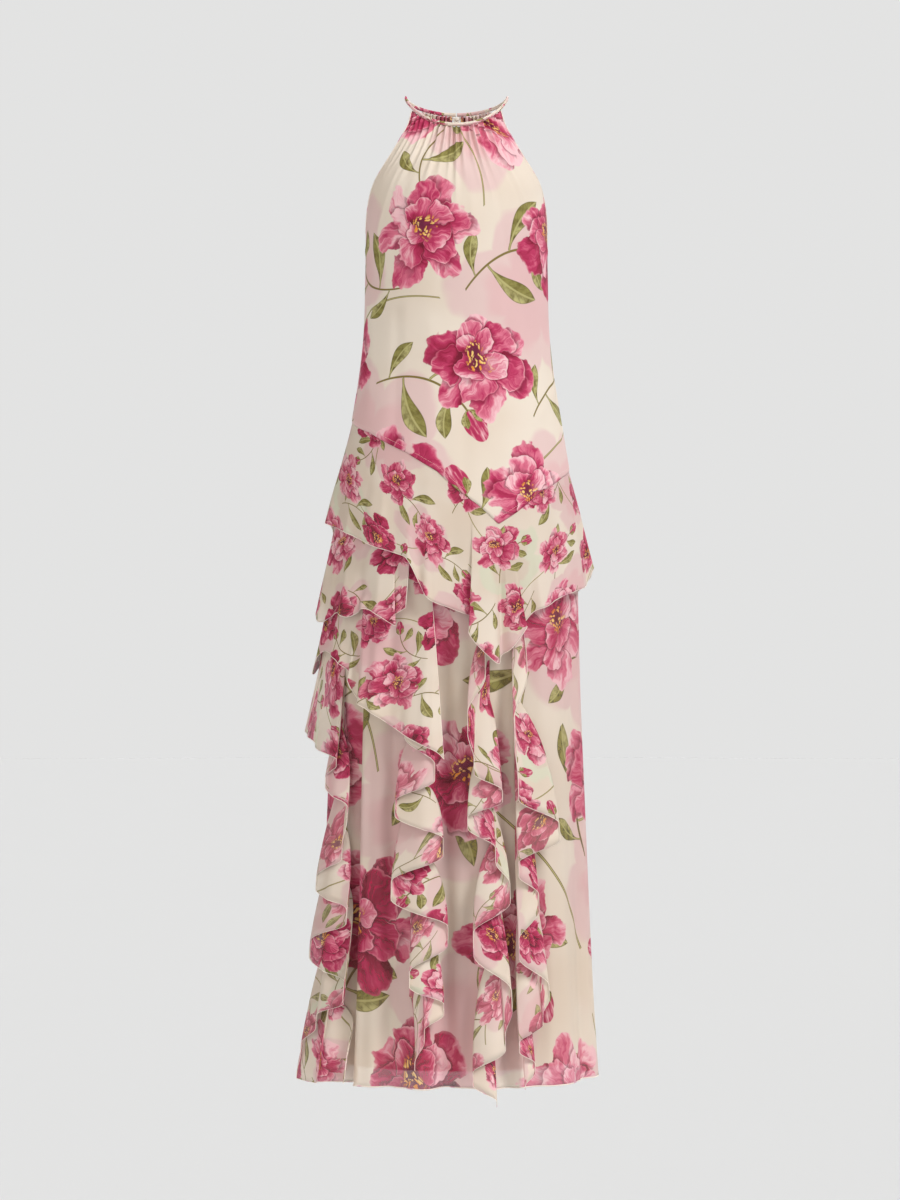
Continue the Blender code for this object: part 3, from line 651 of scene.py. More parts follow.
def yoke_row(yoke, step, u, centre, gathers):
    """One row of the bodice above the underarm, with its gathers."""
    half_width, depth, end, middle, edge = follow(yoke, float(step))
    neck_end = yoke[0][3]
    bend = 1 - np.cos(np.radians(u * neck_end)) ** NECK_ROUNDING
    bend = bend / (1 - math.cos(math.radians(neck_end)) ** NECK_ROUNDING)
    height = middle + (edge - middle) * bend
    spread = np.linspace(-1, 1, len(GATHER_LENGTHS))
    fade = 1 - step / np.interp(u, spread, GATHER_LENGTHS)
    fade = np.maximum(0.0, fade) ** GATHER_FADE
    drifted = u + GATHER_DRIFT / gathers * np.sin(DRIFT_WAVES * math.pi * u + DRIFT_START)
    wave = np.cos(math.pi * gathers * drifted)
    depths = GATHER_DEPTH * np.interp(u, spread, GATHER_DEPTHS)
    lift = depths * fade * (wave + GATHER_RIDGE * wave ** 2)
    turned = centre + u * (end - math.degrees(SEAM_GAP / 2 / depth))
    soft = creases(BODICE_CREASES, turned, height) * min(1.0, step / YOKE_CREASE_STEPS)
    return section_point(turned, height, half_width, depth, depth, lift + soft)


def half_round(start, columns):
    """Angles from one side to the other, short of each side seam by half the gap."""
    return np.linspace(start + SIDE_INSET, start + 180.0 - SIDE_INSET, columns + 1)


def bodice_lower(start):
    """Grid of the bodice from the underarm to the hip seam, whose edge turns in."""
    angle = half_round(start, BODICE_COLUMNS)
    seam = hip_seam(angle)
    height = UNDERARM_HEIGHT + (seam - UNDERARM_HEIGHT) * shares(BODICE_ROWS)[1:]
    fade = 1 - ease((SEAM_ALLOWANCE * 2 - (height - seam)) / (SEAM_ALLOWANCE * 2))
    lift = creases(BODICE_CREASES, angle, height) * fade
    lift = lift - ease(1 - (height - seam) / SEAM_TURN) * SEAM_SINK
    return body_point(angle, height, lift)


def yoke_steps(last, coarse):
    """Row numbers of a yoke, closer together near the neck."""
    fine = np.linspace(0, YOKE_FINE_STEPS, YOKE_FINE_ROWS, endpoint=False)
    return np.concatenate([fine, np.linspace(YOKE_FINE_STEPS, last, coarse)])


def armholes(left, right, last):
    """The edges of the armholes, and the lines of stitches beside them."""
    edges = [left[:last, 0], right[:last, -1]]
    return edges, [left[2:last, STITCH_COLUMN], right[2:last, -1 - STITCH_COLUMN]]


def make_bodice_front(looks):
    """The front panel, gathered into the neckband."""
    u = np.linspace(-1, 1, BODICE_COLUMNS + 1)
    steps = yoke_steps(len(FRONT_YOKE) - 1, FRONT_YOKE_ROWS)
    upper = [yoke_row(FRONT_YOKE, s, u, 0.0, GATHERS_FRONT) for s in steps]
    grid = np.concatenate([np.stack(upper), bodice_lower(-90.0)])
    made = cloth_object("front_panel", [grid], [flat_cloth(grid)], looks)
    return made, grid, *armholes(grid, grid, len(steps))


def make_bodice_back(looks):
    """The back panel in halves that meet below the keyhole."""
    half = BODICE_COLUMNS // 2
    u = np.linspace(0, 1, half + 1)
    steps = yoke_steps(len(BACK_YOKE) - 1, BACK_YOKE_ROWS)
    lower = bodice_lower(90.0)
    halves = []
    for way, below in ((-1, lower[:, :half + 1]), (1, lower[:, half:])):
        rows = []
        for step in steps:
            middle = yoke_row(BACK_YOKE, step, np.zeros(1), 180.0, GATHERS_BACK)[0]
            width, _, end = follow(BACK_YOKE, float(step))[:3]
            open_width = np.interp(middle[2], *zip(*KEYHOLE))
            start = math.degrees(math.asin(open_width / width)) / end
            across = (start + (1 - start) * u) * way
            rows.append(yoke_row(BACK_YOKE, step, np.sort(across), 180.0, GATHERS_BACK))
        halves.append(np.concatenate([np.stack(rows), below]))
    left, right = halves
    cloth = flat_cloth(np.concatenate([left, right[:, 1:]], axis=1))
    cloths = [cloth[:, :half + 1], cloth[:, half:]]
    made = cloth_object("back_panel", [left, right], cloths, looks)
    last = len(steps)
    foot = int(np.searchsorted(-left[:last, -1, 2], -KEYHOLE[0][0]))
    keyhole = np.concatenate([left[:foot, -1], right[:foot, 0][::-1]])
    return made, left, right, keyhole, *armholes(left, right, last)


def make_neckband(look):
    """A rolled band round the neck, softly wrinkled, open at the centre back."""
    opening = math.degrees(BAND_OPENING / 2 / NECK_HALF_WIDTH)
    angle = np.linspace(-180 + opening, 180 - opening, BAND_STEPS + 1)
    turn = np.radians(angle)
    middle = joined(NECK_HALF_WIDTH * np.sin(turn), -NECK_DEPTH * np.cos(turn),
                    ring_height(angle))
    outward = joined(np.sin(turn), -np.cos(turn), 0.0)
    around = circle(BAND_SIDES)
    wrinkle = 1
    for depth, along, about in BAND_WRINKLES:
        wrinkle = wrinkle + depth * np.sin(angle[:, None] * along + about * around)
    in_out = np.cos(around) * wrinkle * BAND_THICKNESS / 2
    rings = middle[:, None] + outward[:, None] * in_out[..., None]
    rings[..., 2] += np.sin(around) * wrinkle * BAND_HEIGHT / 2
    quads, uv = ringed(turn[:, None] * NECK_HALF_WIDTH * MM,
                       np.linspace(0, BAND_CLOTH_WIDTH, BAND_SIDES + 1) * MM)
    index = numbered(BAND_STEPS + 1, BAND_SIDES)
    caps = []
    for ring, end in ((index[0], index.size), (index[-1][::-1], index.size + 1)):
        ring = np.append(ring, ring[0])
        caps += [[*ring[k:k + 3], end] for k in range(0, BAND_SIDES, 2)]
    made = make_object("neck_roll", [rings.reshape(-1, 3), middle[[0, -1]]], [quads, caps],
                       [look], [uv, np.zeros((len(caps), 4, 2))])
    out = BAND_THICKNESS / 2 * math.sqrt(1 - BAND_STITCH ** 2) + STITCH_LIFT
    line = middle + outward * out
    line[:, 2] += BAND_HEIGHT / 2 * BAND_STITCH
    return made, line


def make_button(look, thread):
    """A small cloth-covered button with the gathers of its cover, and its loop."""
    top = -NECK_DROP_BACK - BAND_HEIGHT / 2 - SEAM_GAP
    height = top - BUTTON_RADIUS
    tip = np.linspace(BUTTON_TIP, math.pi - BUTTON_TIP, BUTTON_RINGS)[:, None]
    around = circle(BUTTON_SIDES)
    pleat = np.cos(BUTTON_PLEATS * around) * np.sin(tip) * (tip > math.pi / 2)
    radius = BUTTON_RADIUS * np.sin(tip) * (1 + BUTTON_PLEAT_DEPTH * pleat)
    points = joined(radius * np.cos(around), NECK_DEPTH + BUTTON_THICKNESS / 2 * np.cos(tip),
                    radius * np.sin(around) + height)
    across, along = BUTTON_CLOTH_STEPS
    quads, uv = ringed(np.arange(BUTTON_SIDES + 1) * across * MM,
                       np.arange(BUTTON_RINGS)[:, None] * along * MM)
    button = make_object("covered_button", [points.reshape(-1, 3)], [quads[:, ::-1]], [look],
                         [uv[:, ::-1]])
    reach = BUTTON_RADIUS + SEAM_GAP + LOOP_WIRE
    turn = np.linspace(math.pi, math.tau, LOOP_STEPS)
    path = joined(reach * np.cos(turn), NECK_DEPTH, height + reach * np.sin(turn))
    ends = joined((-reach, reach), NECK_DEPTH, top)
    path = np.concatenate([ends[:1], path, ends[1:]])
    return button, tube("rolled_loop", [path], LOOP_WIRE, LOOP_SIDES, thread)


def make_skirt(name, start, looks):
    """Half of the flared skirt, with its pleats and long soft creases."""
    angle = half_round(start, SKIRT_COLUMNS)
    top = hip_seam(angle) + SEAM_ALLOWANCE
    height = top + (HEM_HEIGHT - top) * shares(SKIRT_ROWS)
    grid = skirt_point(angle, height, skirt_creases(angle, height))
    return cloth_object(name, [grid], [flat_cloth(grid)], looks), grid


def make_lining(looks):
    """The plain tube inside the skirt."""
    angle = np.linspace(-180, 180, LINING_COLUMNS + 1)[:-1]
    top = hip_seam(angle) - SEAM_ALLOWANCE
    share = shares(LINING_ROWS)
    height = top + (LINING_HEM - top) * share
    away = LINING_GAP + LINING_DEPTH * np.minimum(1.0, LINING_SPREAD * share)
    grid = body_point(angle, height, SKIRT_LIFT - away)
    whole = looped(grid)
    return cloth_object("lining_tube", [grid], [flat_cloth(whole)], looks), whole


def make_flounce(name, rows, looks, sewn):
    """A flounce that falls in waves from its seam, sewn into the hip seam or not."""
    folds = len(rows) - 1
    places = np.linspace(0, folds, folds * FLOUNCE_STEPS + 1)
    rows = [(number, *row) for number, row in enumerate(rows)]
    if sewn:
        seam_angle, hem_angle, hem, hem_lift = follow(rows, places)
        for column in (seam_angle, hem_angle):
            column[0] += SIDE_INSET
            column[-1] -= SIDE_INSET
        seam = hip_seam(seam_angle) + FLOUNCE_TUCK
    else:
        seam_angle, seam, hem_angle, hem, hem_lift = follow(rows, places)
    share = shares(FLOUNCE_ROWS)
    angle = seam_angle + (hem_angle - seam_angle) * share
    height = seam + (hem - seam) * share
    lift = LAYER + (hem_lift - LAYER) * share ** FLOUNCE_CURVE
    lift = lift + waves(FLOUNCE_WAVES, angle) * share ** WAVE_GROWTH
    under = skirt_creases(angle, height)
    grid = skirt_point(angle, height, lift + np.maximum(under, under * (1 - share)))
    if seam_angle[0] > seam_angle[-1]:
        grid = grid[:, ::-1]
    made = cloth_object(name, [grid], [flared_cloth(grid)], looks)
    ends = [] if sewn else [grid[:, 0], grid[:, -1]]
    return made, grid, [grid[-1], *ends]


def make_cascade(name, seam, rows, looks, corner):
    """A spiral ruffle whose free edge swings to and fro below its upright seam.

    The corner names one turn whose free edge stands out further, and how far.
    """
    seam_angle, top, foot = seam
    corner_turn, corner_reach = corner
    swings = len(rows) - 1
    edge_angles, edge_heights = np.array(rows, float).T
    place = np.linspace(0, swings, swings * CASCADE_STEPS + 1)
    swing = np.minimum(place.astype(int), swings - 1)
    way = ease((place - swing - CASCADE_TURN) / (1 - 2 * CASCADE_TURN))
    edge_angle = edge_angles[swing] + (edge_angles[swing + 1] - edge_angles[swing]) * way
    edge_height = np.interp(place, range(swings + 1), edge_heights)
    turn = math.pi / 2 * shares(CASCADE_ROWS)
    start = top + (foot - top) * place / swings
    fall = (start - edge_height) * (1 - np.cos(turn))
    angle = seam_angle + (edge_angle - seam_angle) * np.sin(turn)
    lift = CASCADE_START + CASCADE_STAND * np.sin(turn) + CASCADE_FLARE * fall
    nearness = np.maximum(0.0, 1 - np.abs(place - corner_turn))
    lift = lift + corner_reach * nearness * (1 - np.cos(turn)) ** CORNER_GROWTH
    under = skirt_creases(angle, start - fall)
    lift = lift + np.maximum(under, under * np.cos(turn))
    grid = skirt_point(angle, start - fall, lift)
    made = cloth_object(name, [grid], [spiral_cloth(grid)], looks)
    return made, grid, [grid[-1], grid[:, 0], grid[:, -1]]


def fill(node, inputs):
    """Links or values for a shader node's sockets."""
    for slot, value in inputs.items():
        if isinstance(value, Value):
            node.id_data.links.new(value.socket, node.inputs[slot])
        else:
            node.inputs[slot].default_value = value


def add_node(tree, kind, inputs, out=0, **settings):
    """One output of a new shader node with its settings and inputs."""
    made = tree.nodes.new(kind)
    for key, value in settings.items():
        setattr(made, key, value)
    fill(made, inputs)
    return Value(made.outputs[out])


class Value:
    """A socket of a shader node, to which plain arithmetic adds nodes."""

    def __init__(self, socket):
        self.socket = socket
        self.number = socket.type == "VALUE"

    def node(self, kind, inputs, out=0, **settings):
        """One output of a new node in the same shader."""
        return add_node(self.socket.id_data, kind, inputs, out, **settings)

    def do(self, operation, *others, out=0, **settings):
        """The result of an operation on this value and others."""
        kind = "ShaderNodeMath" if self.number else "ShaderNodeVectorMath"
        inputs = dict(enumerate((self, *others)))
        return self.node(kind, inputs, out, operation=operation, **settings)

    def __add__(self, other):
        return self.do("ADD", other)

    def __sub__(self, other):
        return self.do("SUBTRACT", other)

    def __rsub__(self, other):
        return self.node("ShaderNodeMath", {0: other, 1: self}, operation="SUBTRACT")

    def __mul__(self, other):
        if self.number or isinstance(other, tuple):
            return self.do("MULTIPLY", other)
        inputs = {0: self, "Scale": other}
        return self.node("ShaderNodeVectorMath", inputs, operation="SCALE")

    def __truediv__(self, other):
        return self.do("DIVIDE", other)

    def __abs__(self):
        return self.do("ABSOLUTE")

    def __floor__(self):
        return self.do("FLOOR")

    def line(self, factor, more):
        """This number times a factor, and something more."""
        return self.do("MULTIPLY_ADD", factor, more)

    def turn(self, angle):
        """This vector turned about Z."""
        inputs = {"Vector": self, "Angle": angle}
        return self.node("ShaderNodeVectorRotate", inputs, rotation_type="Z_AXIS")

    def parts(self):
        """The three numbers of this vector."""
        first = self.node("ShaderNodeSeparateXYZ", {0: self})
        return map(Value, first.socket.node.outputs)

    def step(self, start, end, low=0.0, high=1.0):
        """A smooth step between two values."""
        inputs = dict(enumerate((self, start, end, low, high)))
        return self.node("ShaderNodeMapRange", inputs, interpolation_type="SMOOTHSTEP")

    def noise(self, scale, detail=2.0, out=0, roughness=0.5):
        """Soft noise at this place."""
        inputs = {"Vector": self, "Scale": scale, "Detail": detail, "Roughness": roughness}
        return self.node("ShaderNodeTexNoise", inputs, out)

    def vector(self, *others):
        """This number and others as a vector."""
        return self.node("ShaderNodeCombineXYZ", dict(enumerate((self, *others))))

    def chance(self, out):
        """A random number, or three as a colour, for this place."""
        inputs = {"Vector": self}
        return self.node("ShaderNodeTexWhiteNoise", inputs, out, noise_dimensions="3D")

    def mix(self, a, b):
        """One colour with another over it, by this share."""
        return self.node("ShaderNodeMix", {0: self, 6: a, 7: b}, 2, data_type="RGBA")

    def ramp(self, stops):
        """Colours along this value."""
        made = self.node("ShaderNodeValToRGB", {0: self})
        elements = made.socket.node.color_ramp.elements
        while len(elements) < len(stops):
            elements.new(0.5)
        for element, (place, color) in zip(elements, stops):
            element.position = place
            element.color = color
        return made


def ink(code):
    """A colour from its six-figure code."""
    parts = [int(code[k:k + 2], 16) / 255 for k in (0, 2, 4)]
    linear = [p / 12.92 if p <= 0.04045 else ((p + 0.055) / 1.055) ** 2.4 for p in parts]
    return (*linear, 1.0)


CREAM, CREAM_SHADE, BLUSH, SAGE = map(ink, ("EBDFD1", "E4D4C3", "E3C4C2", "DCDCC6"))
PETAL_DEEP, PETAL_DARK, PETAL = map(ink, ("6B1229", "A12347", "C13A64"))
PETAL_LIGHT, PETAL_PALE, HEART = map(ink, ("DF7A93", "F4C6CC", "6B2440"))
LEAF_DARK, LEAF, LEAF_LIGHT, STEM = map(ink, ("685C2C", "968F50", "C0B97E", "82723C"))
POLLEN, POLLEN_LIGHT, LINING, LINING_SHADE = map(ink, ("E8973A", "F5CF7C", "EBD6C1", "E2C9B2"))
HEM, HEM_PRINT, HEM_THREAD = map(ink, ("F3E7DC", "D897B2", "FBF4EC"))
BUTTON, BUTTON_SHADE, SILK, SILK_SHADE = map(ink, ("F2EBE0", "E8DCCB", "F0E6DA", "E2D2C4"))

# Where a petal's tones follow each other, from the shade to the light
BLOOM_TONES = ((0.04, PETAL_DEEP), (0.27, PETAL_DARK), (0.50, PETAL), (0.72, PETAL_LIGHT),
               (0.94, PETAL_PALE))
BUD_TONES = ((0.25, PETAL_DARK), (0.5, PETAL), (0.75, PETAL_PALE))


def lattice(cloth, cell, slant, shift, size):
    """Local places in the cells of a half-drop repeat, turned and sized at random.

    Gives the place, from -0.5 to 0.5 or so, and three random numbers.
    """
    x, y, _ = ((cloth * (1.0 / cell)).turn(math.radians(slant)) + shift).parts()
    column = math.floor(x)
    dropped = y + column * 0.5
    row = math.floor(dropped)
    chance = column.vector(row, shift[0]).chance(1)
    a, b, c = chance.parts()
    local = (x - column - 0.5).vector(dropped - row - 0.5)
    local = (local - (chance - MIDDLE) * LATTICE_JITTER) * LEVEL
    return local.turn(c * math.tau) * (a.line(-0.22, 1.11) / size), a, b, c


def petal_ring(place, petals, reach, dip, phase, uneven=0.0):
    """How far out on its petal a place lies, where between its sides, and its own chance."""
    x, y, _ = place.parts()
    turn = y.do("ARCTAN2", x) * (petals / math.tau) + phase
    around = turn.do("FRACT")
    notch = abs(around.line(2, -1)).do("POWER", 2.4) * dip
    petal = math.floor(turn).do("FLOORED_MODULO", petals)
    own = petal.vector(phase, reach).chance(0)
    rim = own.line(-uneven, reach) - notch
    return place.do("LENGTH", out=1) / rim, around, own


def add_bloom(color, place, chance):
    """An open, loose bloom of three rings of petals over the colour below."""
    warp = (place + chance).noise(1.7, 3.5, out=1, roughness=0.55)
    bent = (place + (warp - MIDDLE) * 0.66) * LEVEL
    streak = (bent.do("NORMALIZE") * 4.6 + bent * 1.1).noise(1.7, 4.0, roughness=0.66)
    blotch = (bent + chance).noise(2.6, 2.5)
    whole = None
    a, b, _ = chance.parts()
    tint = b.do("FRACT").line(0.24, -0.14)
    for petals, reach, dip, uneven, phase, shift in BLOOM_RINGS:
        out, around, own = petal_ring(bent + shift, petals, reach, dip, a + phase, uneven)
        inside = out.step(1.012, 0.988)
        shade = streak.line(0.95, out * 0.50) + blotch.line(1.25, -1.0) + own.line(0.30, tint)
        fold = around.step(0.0, 0.34, -0.34, 0.0)
        ring = shade.do("ADD", fold, use_clamp=True).ramp(BLOOM_TONES)
        lit = out.step(0.94, 0.99) * blotch.step(0.40, 0.62, 0.1, 0.6)
        ring = lit.mix(ring, PETAL_PALE)
        line = abs(around.line(2, -1)).step(0.93, 0.99) * out.step(0.25, 0.55)
        ring = (line * 0.6).mix(ring, PETAL_DEEP)
        if whole is None:
            whole = inside
        else:
            color = (out.step(1.20, 0.98, 0.0, 0.6) * whole).mix(color, PETAL_DEEP)
        color = inside.mix(color, ring)
    heart = bent + BLOOM_HEART
    distance = heart.do("LENGTH", out=1)
    color = distance.step(0.30, 0.05, 0.0, 0.85).mix(color, HEART)
    dots = heart.node("ShaderNodeTexVoronoi", {"Vector": heart, "Scale": 17.0})
    ring = distance.step(0.25, 0.16) * distance.step(0.03, 0.06)
    grain = heart.noise(9.0, 1.0).step(0.4, 0.6)
    return (dots.step(0.50, 0.36) * ring).mix(color, grain.mix(POLLEN, POLLEN_LIGHT))


def add_leaf(color, place, where, angle, length, width, bend):
    """A bent, veined leaf that starts at a point."""
    local = (place - (*where, 0)).turn(-math.radians(angle)) * (1.0 / length)
    x, y, _ = local.parts()
    x = x.do("MAXIMUM", -0.1).do("MINIMUM", 1.1)
    y = y - x * (1.0 - x) * bend
    off = abs(y)
    skewed = x.line(0.28, x * x * 0.72)
    half = ((1.0 - skewed) * math.pi).do("SINE") * width
    stalk = x.step(0.0, 0.02, -0.05, 0.02).do("MINIMUM", x.step(0.5, 0.6, 0.02, -0.05))
    edge = half.do("MAXIMUM", stalk) - off
    green = y.step(-0.02, 0.05).mix(LEAF, LEAF_LIGHT)
    green = local.noise(6.0).step(0.35, 0.75).mix(green, LEAF_DARK)
    vein = (off.line(-1.3, x) * 7.0).do("FRACT")
    green = vein.step(0.16, 0.04, 0.0, 0.4).mix(green, LEAF_DARK)
    green = off.step(0.022, 0.008, 0.0, 0.8).mix(green, LEAF_LIGHT)
    green = edge.step(0.02, 0.004, 0.0, 0.55).mix(green, LEAF_DARK)
    return edge.step(-0.006, 0.006).mix(color, green)


def add_sprig(color, place):
    """A curved stem with four leaves and a bud at its end."""
    x, y, _ = place.parts()
    off = abs(y - (x * x).line(0.95, -0.07))
    inside = abs(x + 0.05).do("LESS_THAN", 0.40)
    color = (off.step(0.0115, 0.006) * inside).mix(color, STEM)
    for leaf in SPRIG_LEAVES:
        color = add_leaf(color, place, *leaf)
    bud = (place - BUD_PLACE).turn(BUD_TURN) * (7.0, 11.0, 0)
    reach = petal_ring(bud - (0.75, 0, 0), 3, 0.95, 0.12, 0.5)[0]
    pink = (bud * (0.6, 2.2, 0)).noise(1.7, 3.0).ramp(BUD_TONES)
    color = reach.step(1.03, 0.97).mix(color, pink)
    for leaf in BUD_LEAVES:
        color = add_leaf(color, place, *leaf)
    return color


def add_stem(color, place, chance):
    """A long bare stem, bent one way."""
    x, y, _ = place.parts()
    off = abs(y - (x * x).line(chance.line(1.1, 0.25), -0.12))
    inside = abs(x).do("LESS_THAN", 0.43)
    color = (off.step(0.0062, 0.0036) * inside).mix(color, STEM)
    return (off.step(0.0026, 0.001) * inside).mix(color, LEAF_LIGHT)


def print_color(cloth, scale):
    """The whole print: shadow blooms, stems, sprigs and blooms on cream."""
    cloth = cloth * (1.0 / scale, 1.0 / scale, 0)
    color = cloth.noise(5.0).step(0.35, 0.7).mix(CREAM, CREAM_SHADE)
    place, a, b, _ = lattice(cloth, *SHADOW_LATTICE)
    soft = (place + (place.noise(1.6, out=1) - MIDDLE) * 0.5) * LEVEL
    out = petal_ring(soft, 5, 1.0, 0.3, a)[0]
    tone = b.step(0.86, 0.88).mix(BLUSH, SAGE)
    color = out.step(1.05, 0.93, 0.0, 0.85).mix(color, tone)
    color = out.step(0.70, 0.52, 0.0, 0.18).mix(color, PETAL_LIGHT)
    place, _, chance, _ = lattice(cloth, *STEM_LATTICE)
    color = add_stem(color, place, chance)
    color = add_sprig(color, lattice(cloth, *SPRIG_LATTICE)[0])
    place, a, b, c = lattice(cloth, *BLOOM_LATTICE)
    return add_bloom(color, place, a.vector(b, c) * 9.0)


def new_cloth(name):
    """A new material, and where a point lies on the cut cloth, in metres."""
    made = bpy.data.materials.new(name)
    made.use_nodes = True
    return made, add_node(made.node_tree, "ShaderNodeUVMap", {}, uv_map="cloth")


def cloth_finish(made, cloth, color, roughness, alpha=1.0, depth=0.12):
    """Chiffon: matt, a little sheen, and a fine uneven crepe."""
    crepe = cloth.noise(WEAVE)
    slub = (cloth * (1.0, 0.12, 1.0)).noise(900.0, 1.0)
    bump = cloth.node("ShaderNodeBump", {"Strength": depth, "Distance": 0.0002,
                                         "Height": crepe + slub * 0.6})
    fill(made.node_tree.nodes["Principled BSDF"], {
        "Base Color": color, "Roughness": crepe.line(0.2, roughness - 0.1), "Normal": bump,
        "Sheen Weight": 0.12, "Sheen Roughness": 0.4, "Specular IOR Level": 0.22,
        "Alpha": alpha})
    return made


def printed(name, scale, alpha=1.0, reverse=False):
    """Printed chiffon, paler on its wrong side."""
    made, cloth = new_cloth(name)
    color = print_color(cloth, scale)
    if reverse:
        inputs = {0: REVERSE_FADE, 6: color, 7: CREAM}
        color = cloth.node("ShaderNodeMix", inputs, 2, data_type="RGBA")
    # Painted light: the colour of sheer cloth is raised for the light that passes through it
    if alpha < 1.0:
        color = color * (1.0 + SHEER_PAINTED_LIGHT * (1.0 - alpha))
    return cloth_finish(made, cloth, color, 0.72, alpha)


def two_sided(name, scale, alpha=1.0):
    """The right side and the wrong side of printed chiffon."""
    return printed(name, scale, alpha), printed(name + "_reverse", scale, alpha, True)


def plain(name, color, shade, scale=30.0, roughness=0.7):
    """Plain cloth or thread, a little uneven in tone."""
    made, cloth = new_cloth(name)
    tone = cloth.noise(scale, 3.0).step(0.3, 0.7).mix(color, shade)
    return cloth_finish(made, cloth, tone, roughness)


def rolled(name):
    """A narrow rolled hem: cream with touches of the print and a slanting thread."""
    made, cloth = new_cloth(name)
    u, v, _ = cloth.parts()
    tone = (cloth * (1, 0, 0)).noise(34.0, 1.0).step(0.56, 0.66).mix(HEM, HEM_PRINT)
    lay = u.line(3900.0, v * 2400.0).do("SINE")
    tone = lay.step(-0.2, 0.9, 0.0, 0.35).mix(tone, HEM_THREAD)
    return cloth_finish(made, cloth, tone, 0.62, depth=0.3)


LARGE = two_sided("print_large", LARGE_PRINT)
SMALL = two_sided("print_small", SMALL_PRINT, FLOUNCE_COVER)
SHEER = two_sided("print_skirt", SKIRT_PRINT, SKIRT_COVER)
LININGS = (plain("lining_cloth", LINING, LINING_SHADE),) * 2
BAND_CLOTH = printed("band_cloth", BAND_PRINT)
HEM_CLOTH = rolled("rolled_hem")
BUTTON_CLOTH = plain("button_cloth", BUTTON, BUTTON_SHADE, 900.0, 0.5)
THREAD = plain("thread", SILK, SILK_SHADE, 700.0, 0.6)


def declare(node, grids=(), spiral=False):
    """Hide the solid that a piece stands for; for cloth, the size it was cut to is worked out
    but not kept.
    """
    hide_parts(node)
    if not grids:
        return
    width = sum(lengths(grid, 1)[:, -1] for grid in grids) * MM
    length = np.concatenate([lengths(grid, 0)[-1] for grid in grids]) * MM
    area = 0
    for grid in grids:
        steps = np.diff(grid, axis=1)[:-1], np.diff(grid, axis=0)[:, :-1]
        area += np.linalg.norm(np.cross(*steps), axis=-1).sum() * MM * MM
    flat = (width.mean(), area / width.mean()) if spiral else (width.max(), length.max())
    min(area, flat[0] * flat[1])


def add_hem(name, lines, radius=HEM_RADIUS, look=HEM_CLOTH):
    """A rolled hem along lines of points."""
    made = tube(name, lines, radius, HEM_SIDES, look)
    return made


def build_top():
    """The bodice, its edges, the neckband, the button and the loop."""
    band, band_line = make_neckband(BAND_CLOTH)
    declare("neckband")
    button, loop = make_button(BUTTON_CLOTH, THREAD)
    declare("neck_button")
    declare("button_loop")
    front, whole, front_edges, front_inner = make_bodice_front(LARGE)
    back, left, right, keyhole, back_edges, back_inner = make_bodice_back(LARGE)
    binding = add_hem("armhole_edges", front_edges + back_edges, BINDING_RADIUS)
    slit = add_hem("keyhole_edge", [keyhole], BINDING_RADIUS, BAND_CLOTH)
    seams = [grid[SEAM_STITCH_ROW] for grid in (whole, left, right)]
    rows = stitches("top_stitches", [*front_inner, *back_inner, band_line, *seams], THREAD)
    declare("bodice_front", [whole])
    declare("bodice_back", [left, right])


def build_skirt():
    """The skirt, its lining and their hems."""
    for node, start in (("skirt_front", -90.0), ("skirt_back", 90.0)):
        name = node + "_cloth"
        made, grid = make_skirt(name, start, SHEER)
        hem = add_hem(name + "_hem", [grid[-1]], SKIRT_HEM_RADIUS)
        declare(node, [grid])
    made, grid = make_lining(LININGS)
    hem = add_hem("lining_hem", [grid[-1]], LINING_HEM_RADIUS, LININGS[0])
    declare("skirt_lining", [grid])


def build_flounces():
    """The flounces and the cascades, each with its rolled hem."""
    for name, node, rows, sewn in (
            ("hip_front_flounce", "hip_flounce_front", HIP_FLOUNCE_FRONT, True),
            ("hip_back_flounce", "hip_flounce_back", HIP_FLOUNCE_BACK, True),
            ("middle_flounce", "side_flounce_middle", SIDE_FLOUNCE_MIDDLE, False),
            ("lower_flounce", "side_flounce_lower", SIDE_FLOUNCE_LOWER, False)):
        made, grid, edges = make_flounce(name, rows, SMALL, sewn)
        hem = add_hem(name + "_hem", edges)
        declare(node, [grid])
    for node, (seam, rows) in CASCADES.items():
        corner = CASCADE_CORNERS.get(node, (0, 0.0))
        made, grid, edges = make_cascade(node + "_ruffle", seam, rows, SMALL, corner)
        hem = add_hem(node + "_hem", edges)
        declare(node, [grid], True)


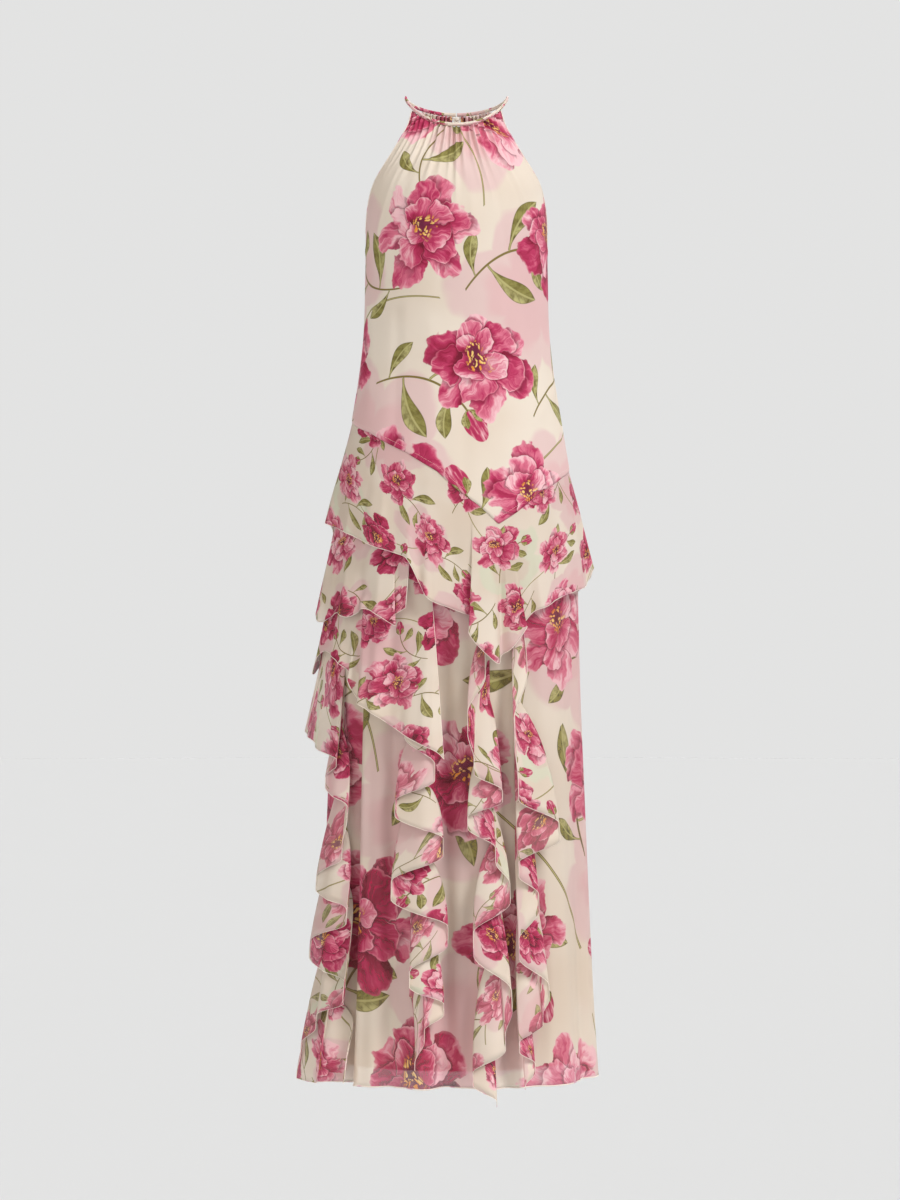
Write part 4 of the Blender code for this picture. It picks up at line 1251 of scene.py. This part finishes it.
def paint(name):
    """The object just added, with a name, and the shader of a new material on it."""
    made = bpy.context.object
    made.name = name
    look = bpy.data.materials.new(name + "_paint")
    look.use_nodes = True
    made.data.materials.append(look)
    return made, look.node_tree.nodes["Principled BSDF"]


def build_stage():
    """A pale floor, an even pale surround, three soft suns and the camera."""
    bpy.ops.mesh.primitive_plane_add(size=STAGE_SIZE, location=(0, 0, FLOOR_HEIGHT))
    floor, shader = paint("floor")
    grain = add_node(shader.id_data, "ShaderNodeTexCoord", {}, 3).noise(0.6)
    tone = grain.mix((*(t - FLOOR_GRAIN for t in FLOOR_TONE), 1), (*FLOOR_TONE, 1))
    fill(shader, {"Base Color": tone, "Roughness": 1.0, "Specular IOR Level": 0.0})
    bpy.ops.mesh.primitive_uv_sphere_add(radius=STAGE_SIZE / 2.2)
    dome, shader = paint("backdrop")
    fill(shader, {
        "Base Color": (0, 0, 0, 1), "Specular IOR Level": 0.0,
        "Emission Color": (1, 1, 0.995, 1), "Emission Strength": BACKGROUND})
    for ray in ("diffuse", "glossy", "transmission", "shadow"):
        setattr(dome, "visible_" + ray, False)
    world = bpy.data.worlds.new("surround")
    world.use_nodes = True
    sky = world.node_tree.nodes["Background"]
    sky.inputs["Color"].default_value = (*WARM, 1)
    sky.inputs["Strength"].default_value = SURROUND
    bpy.context.scene.world = world
    for name, strength, tint, soft, turn in LIGHTS:
        light = bpy.data.lights.new(name, "SUN")
        light.energy = strength
        light.color = tint
        light.angle = math.radians(soft)
        add_object(name, light).rotation_euler = [math.radians(a) for a in turn]
    view = bpy.data.cameras.new("camera")
    view.sensor_fit = "VERTICAL"
    view.sensor_height = SENSOR
    view.lens = SENSOR * -CAMERA_PLACE[1] / FRAME_HEIGHT
    camera = add_object("camera", view)
    camera.location = CAMERA_PLACE
    camera.rotation_euler = (math.pi / 2, 0, 0)
    bpy.context.scene.camera = camera
    bpy.context.scene.view_settings.view_transform = "Standard"


build_stage()
build_top()
build_skirt()
build_flounces()
bpy.context.view_layer.update()
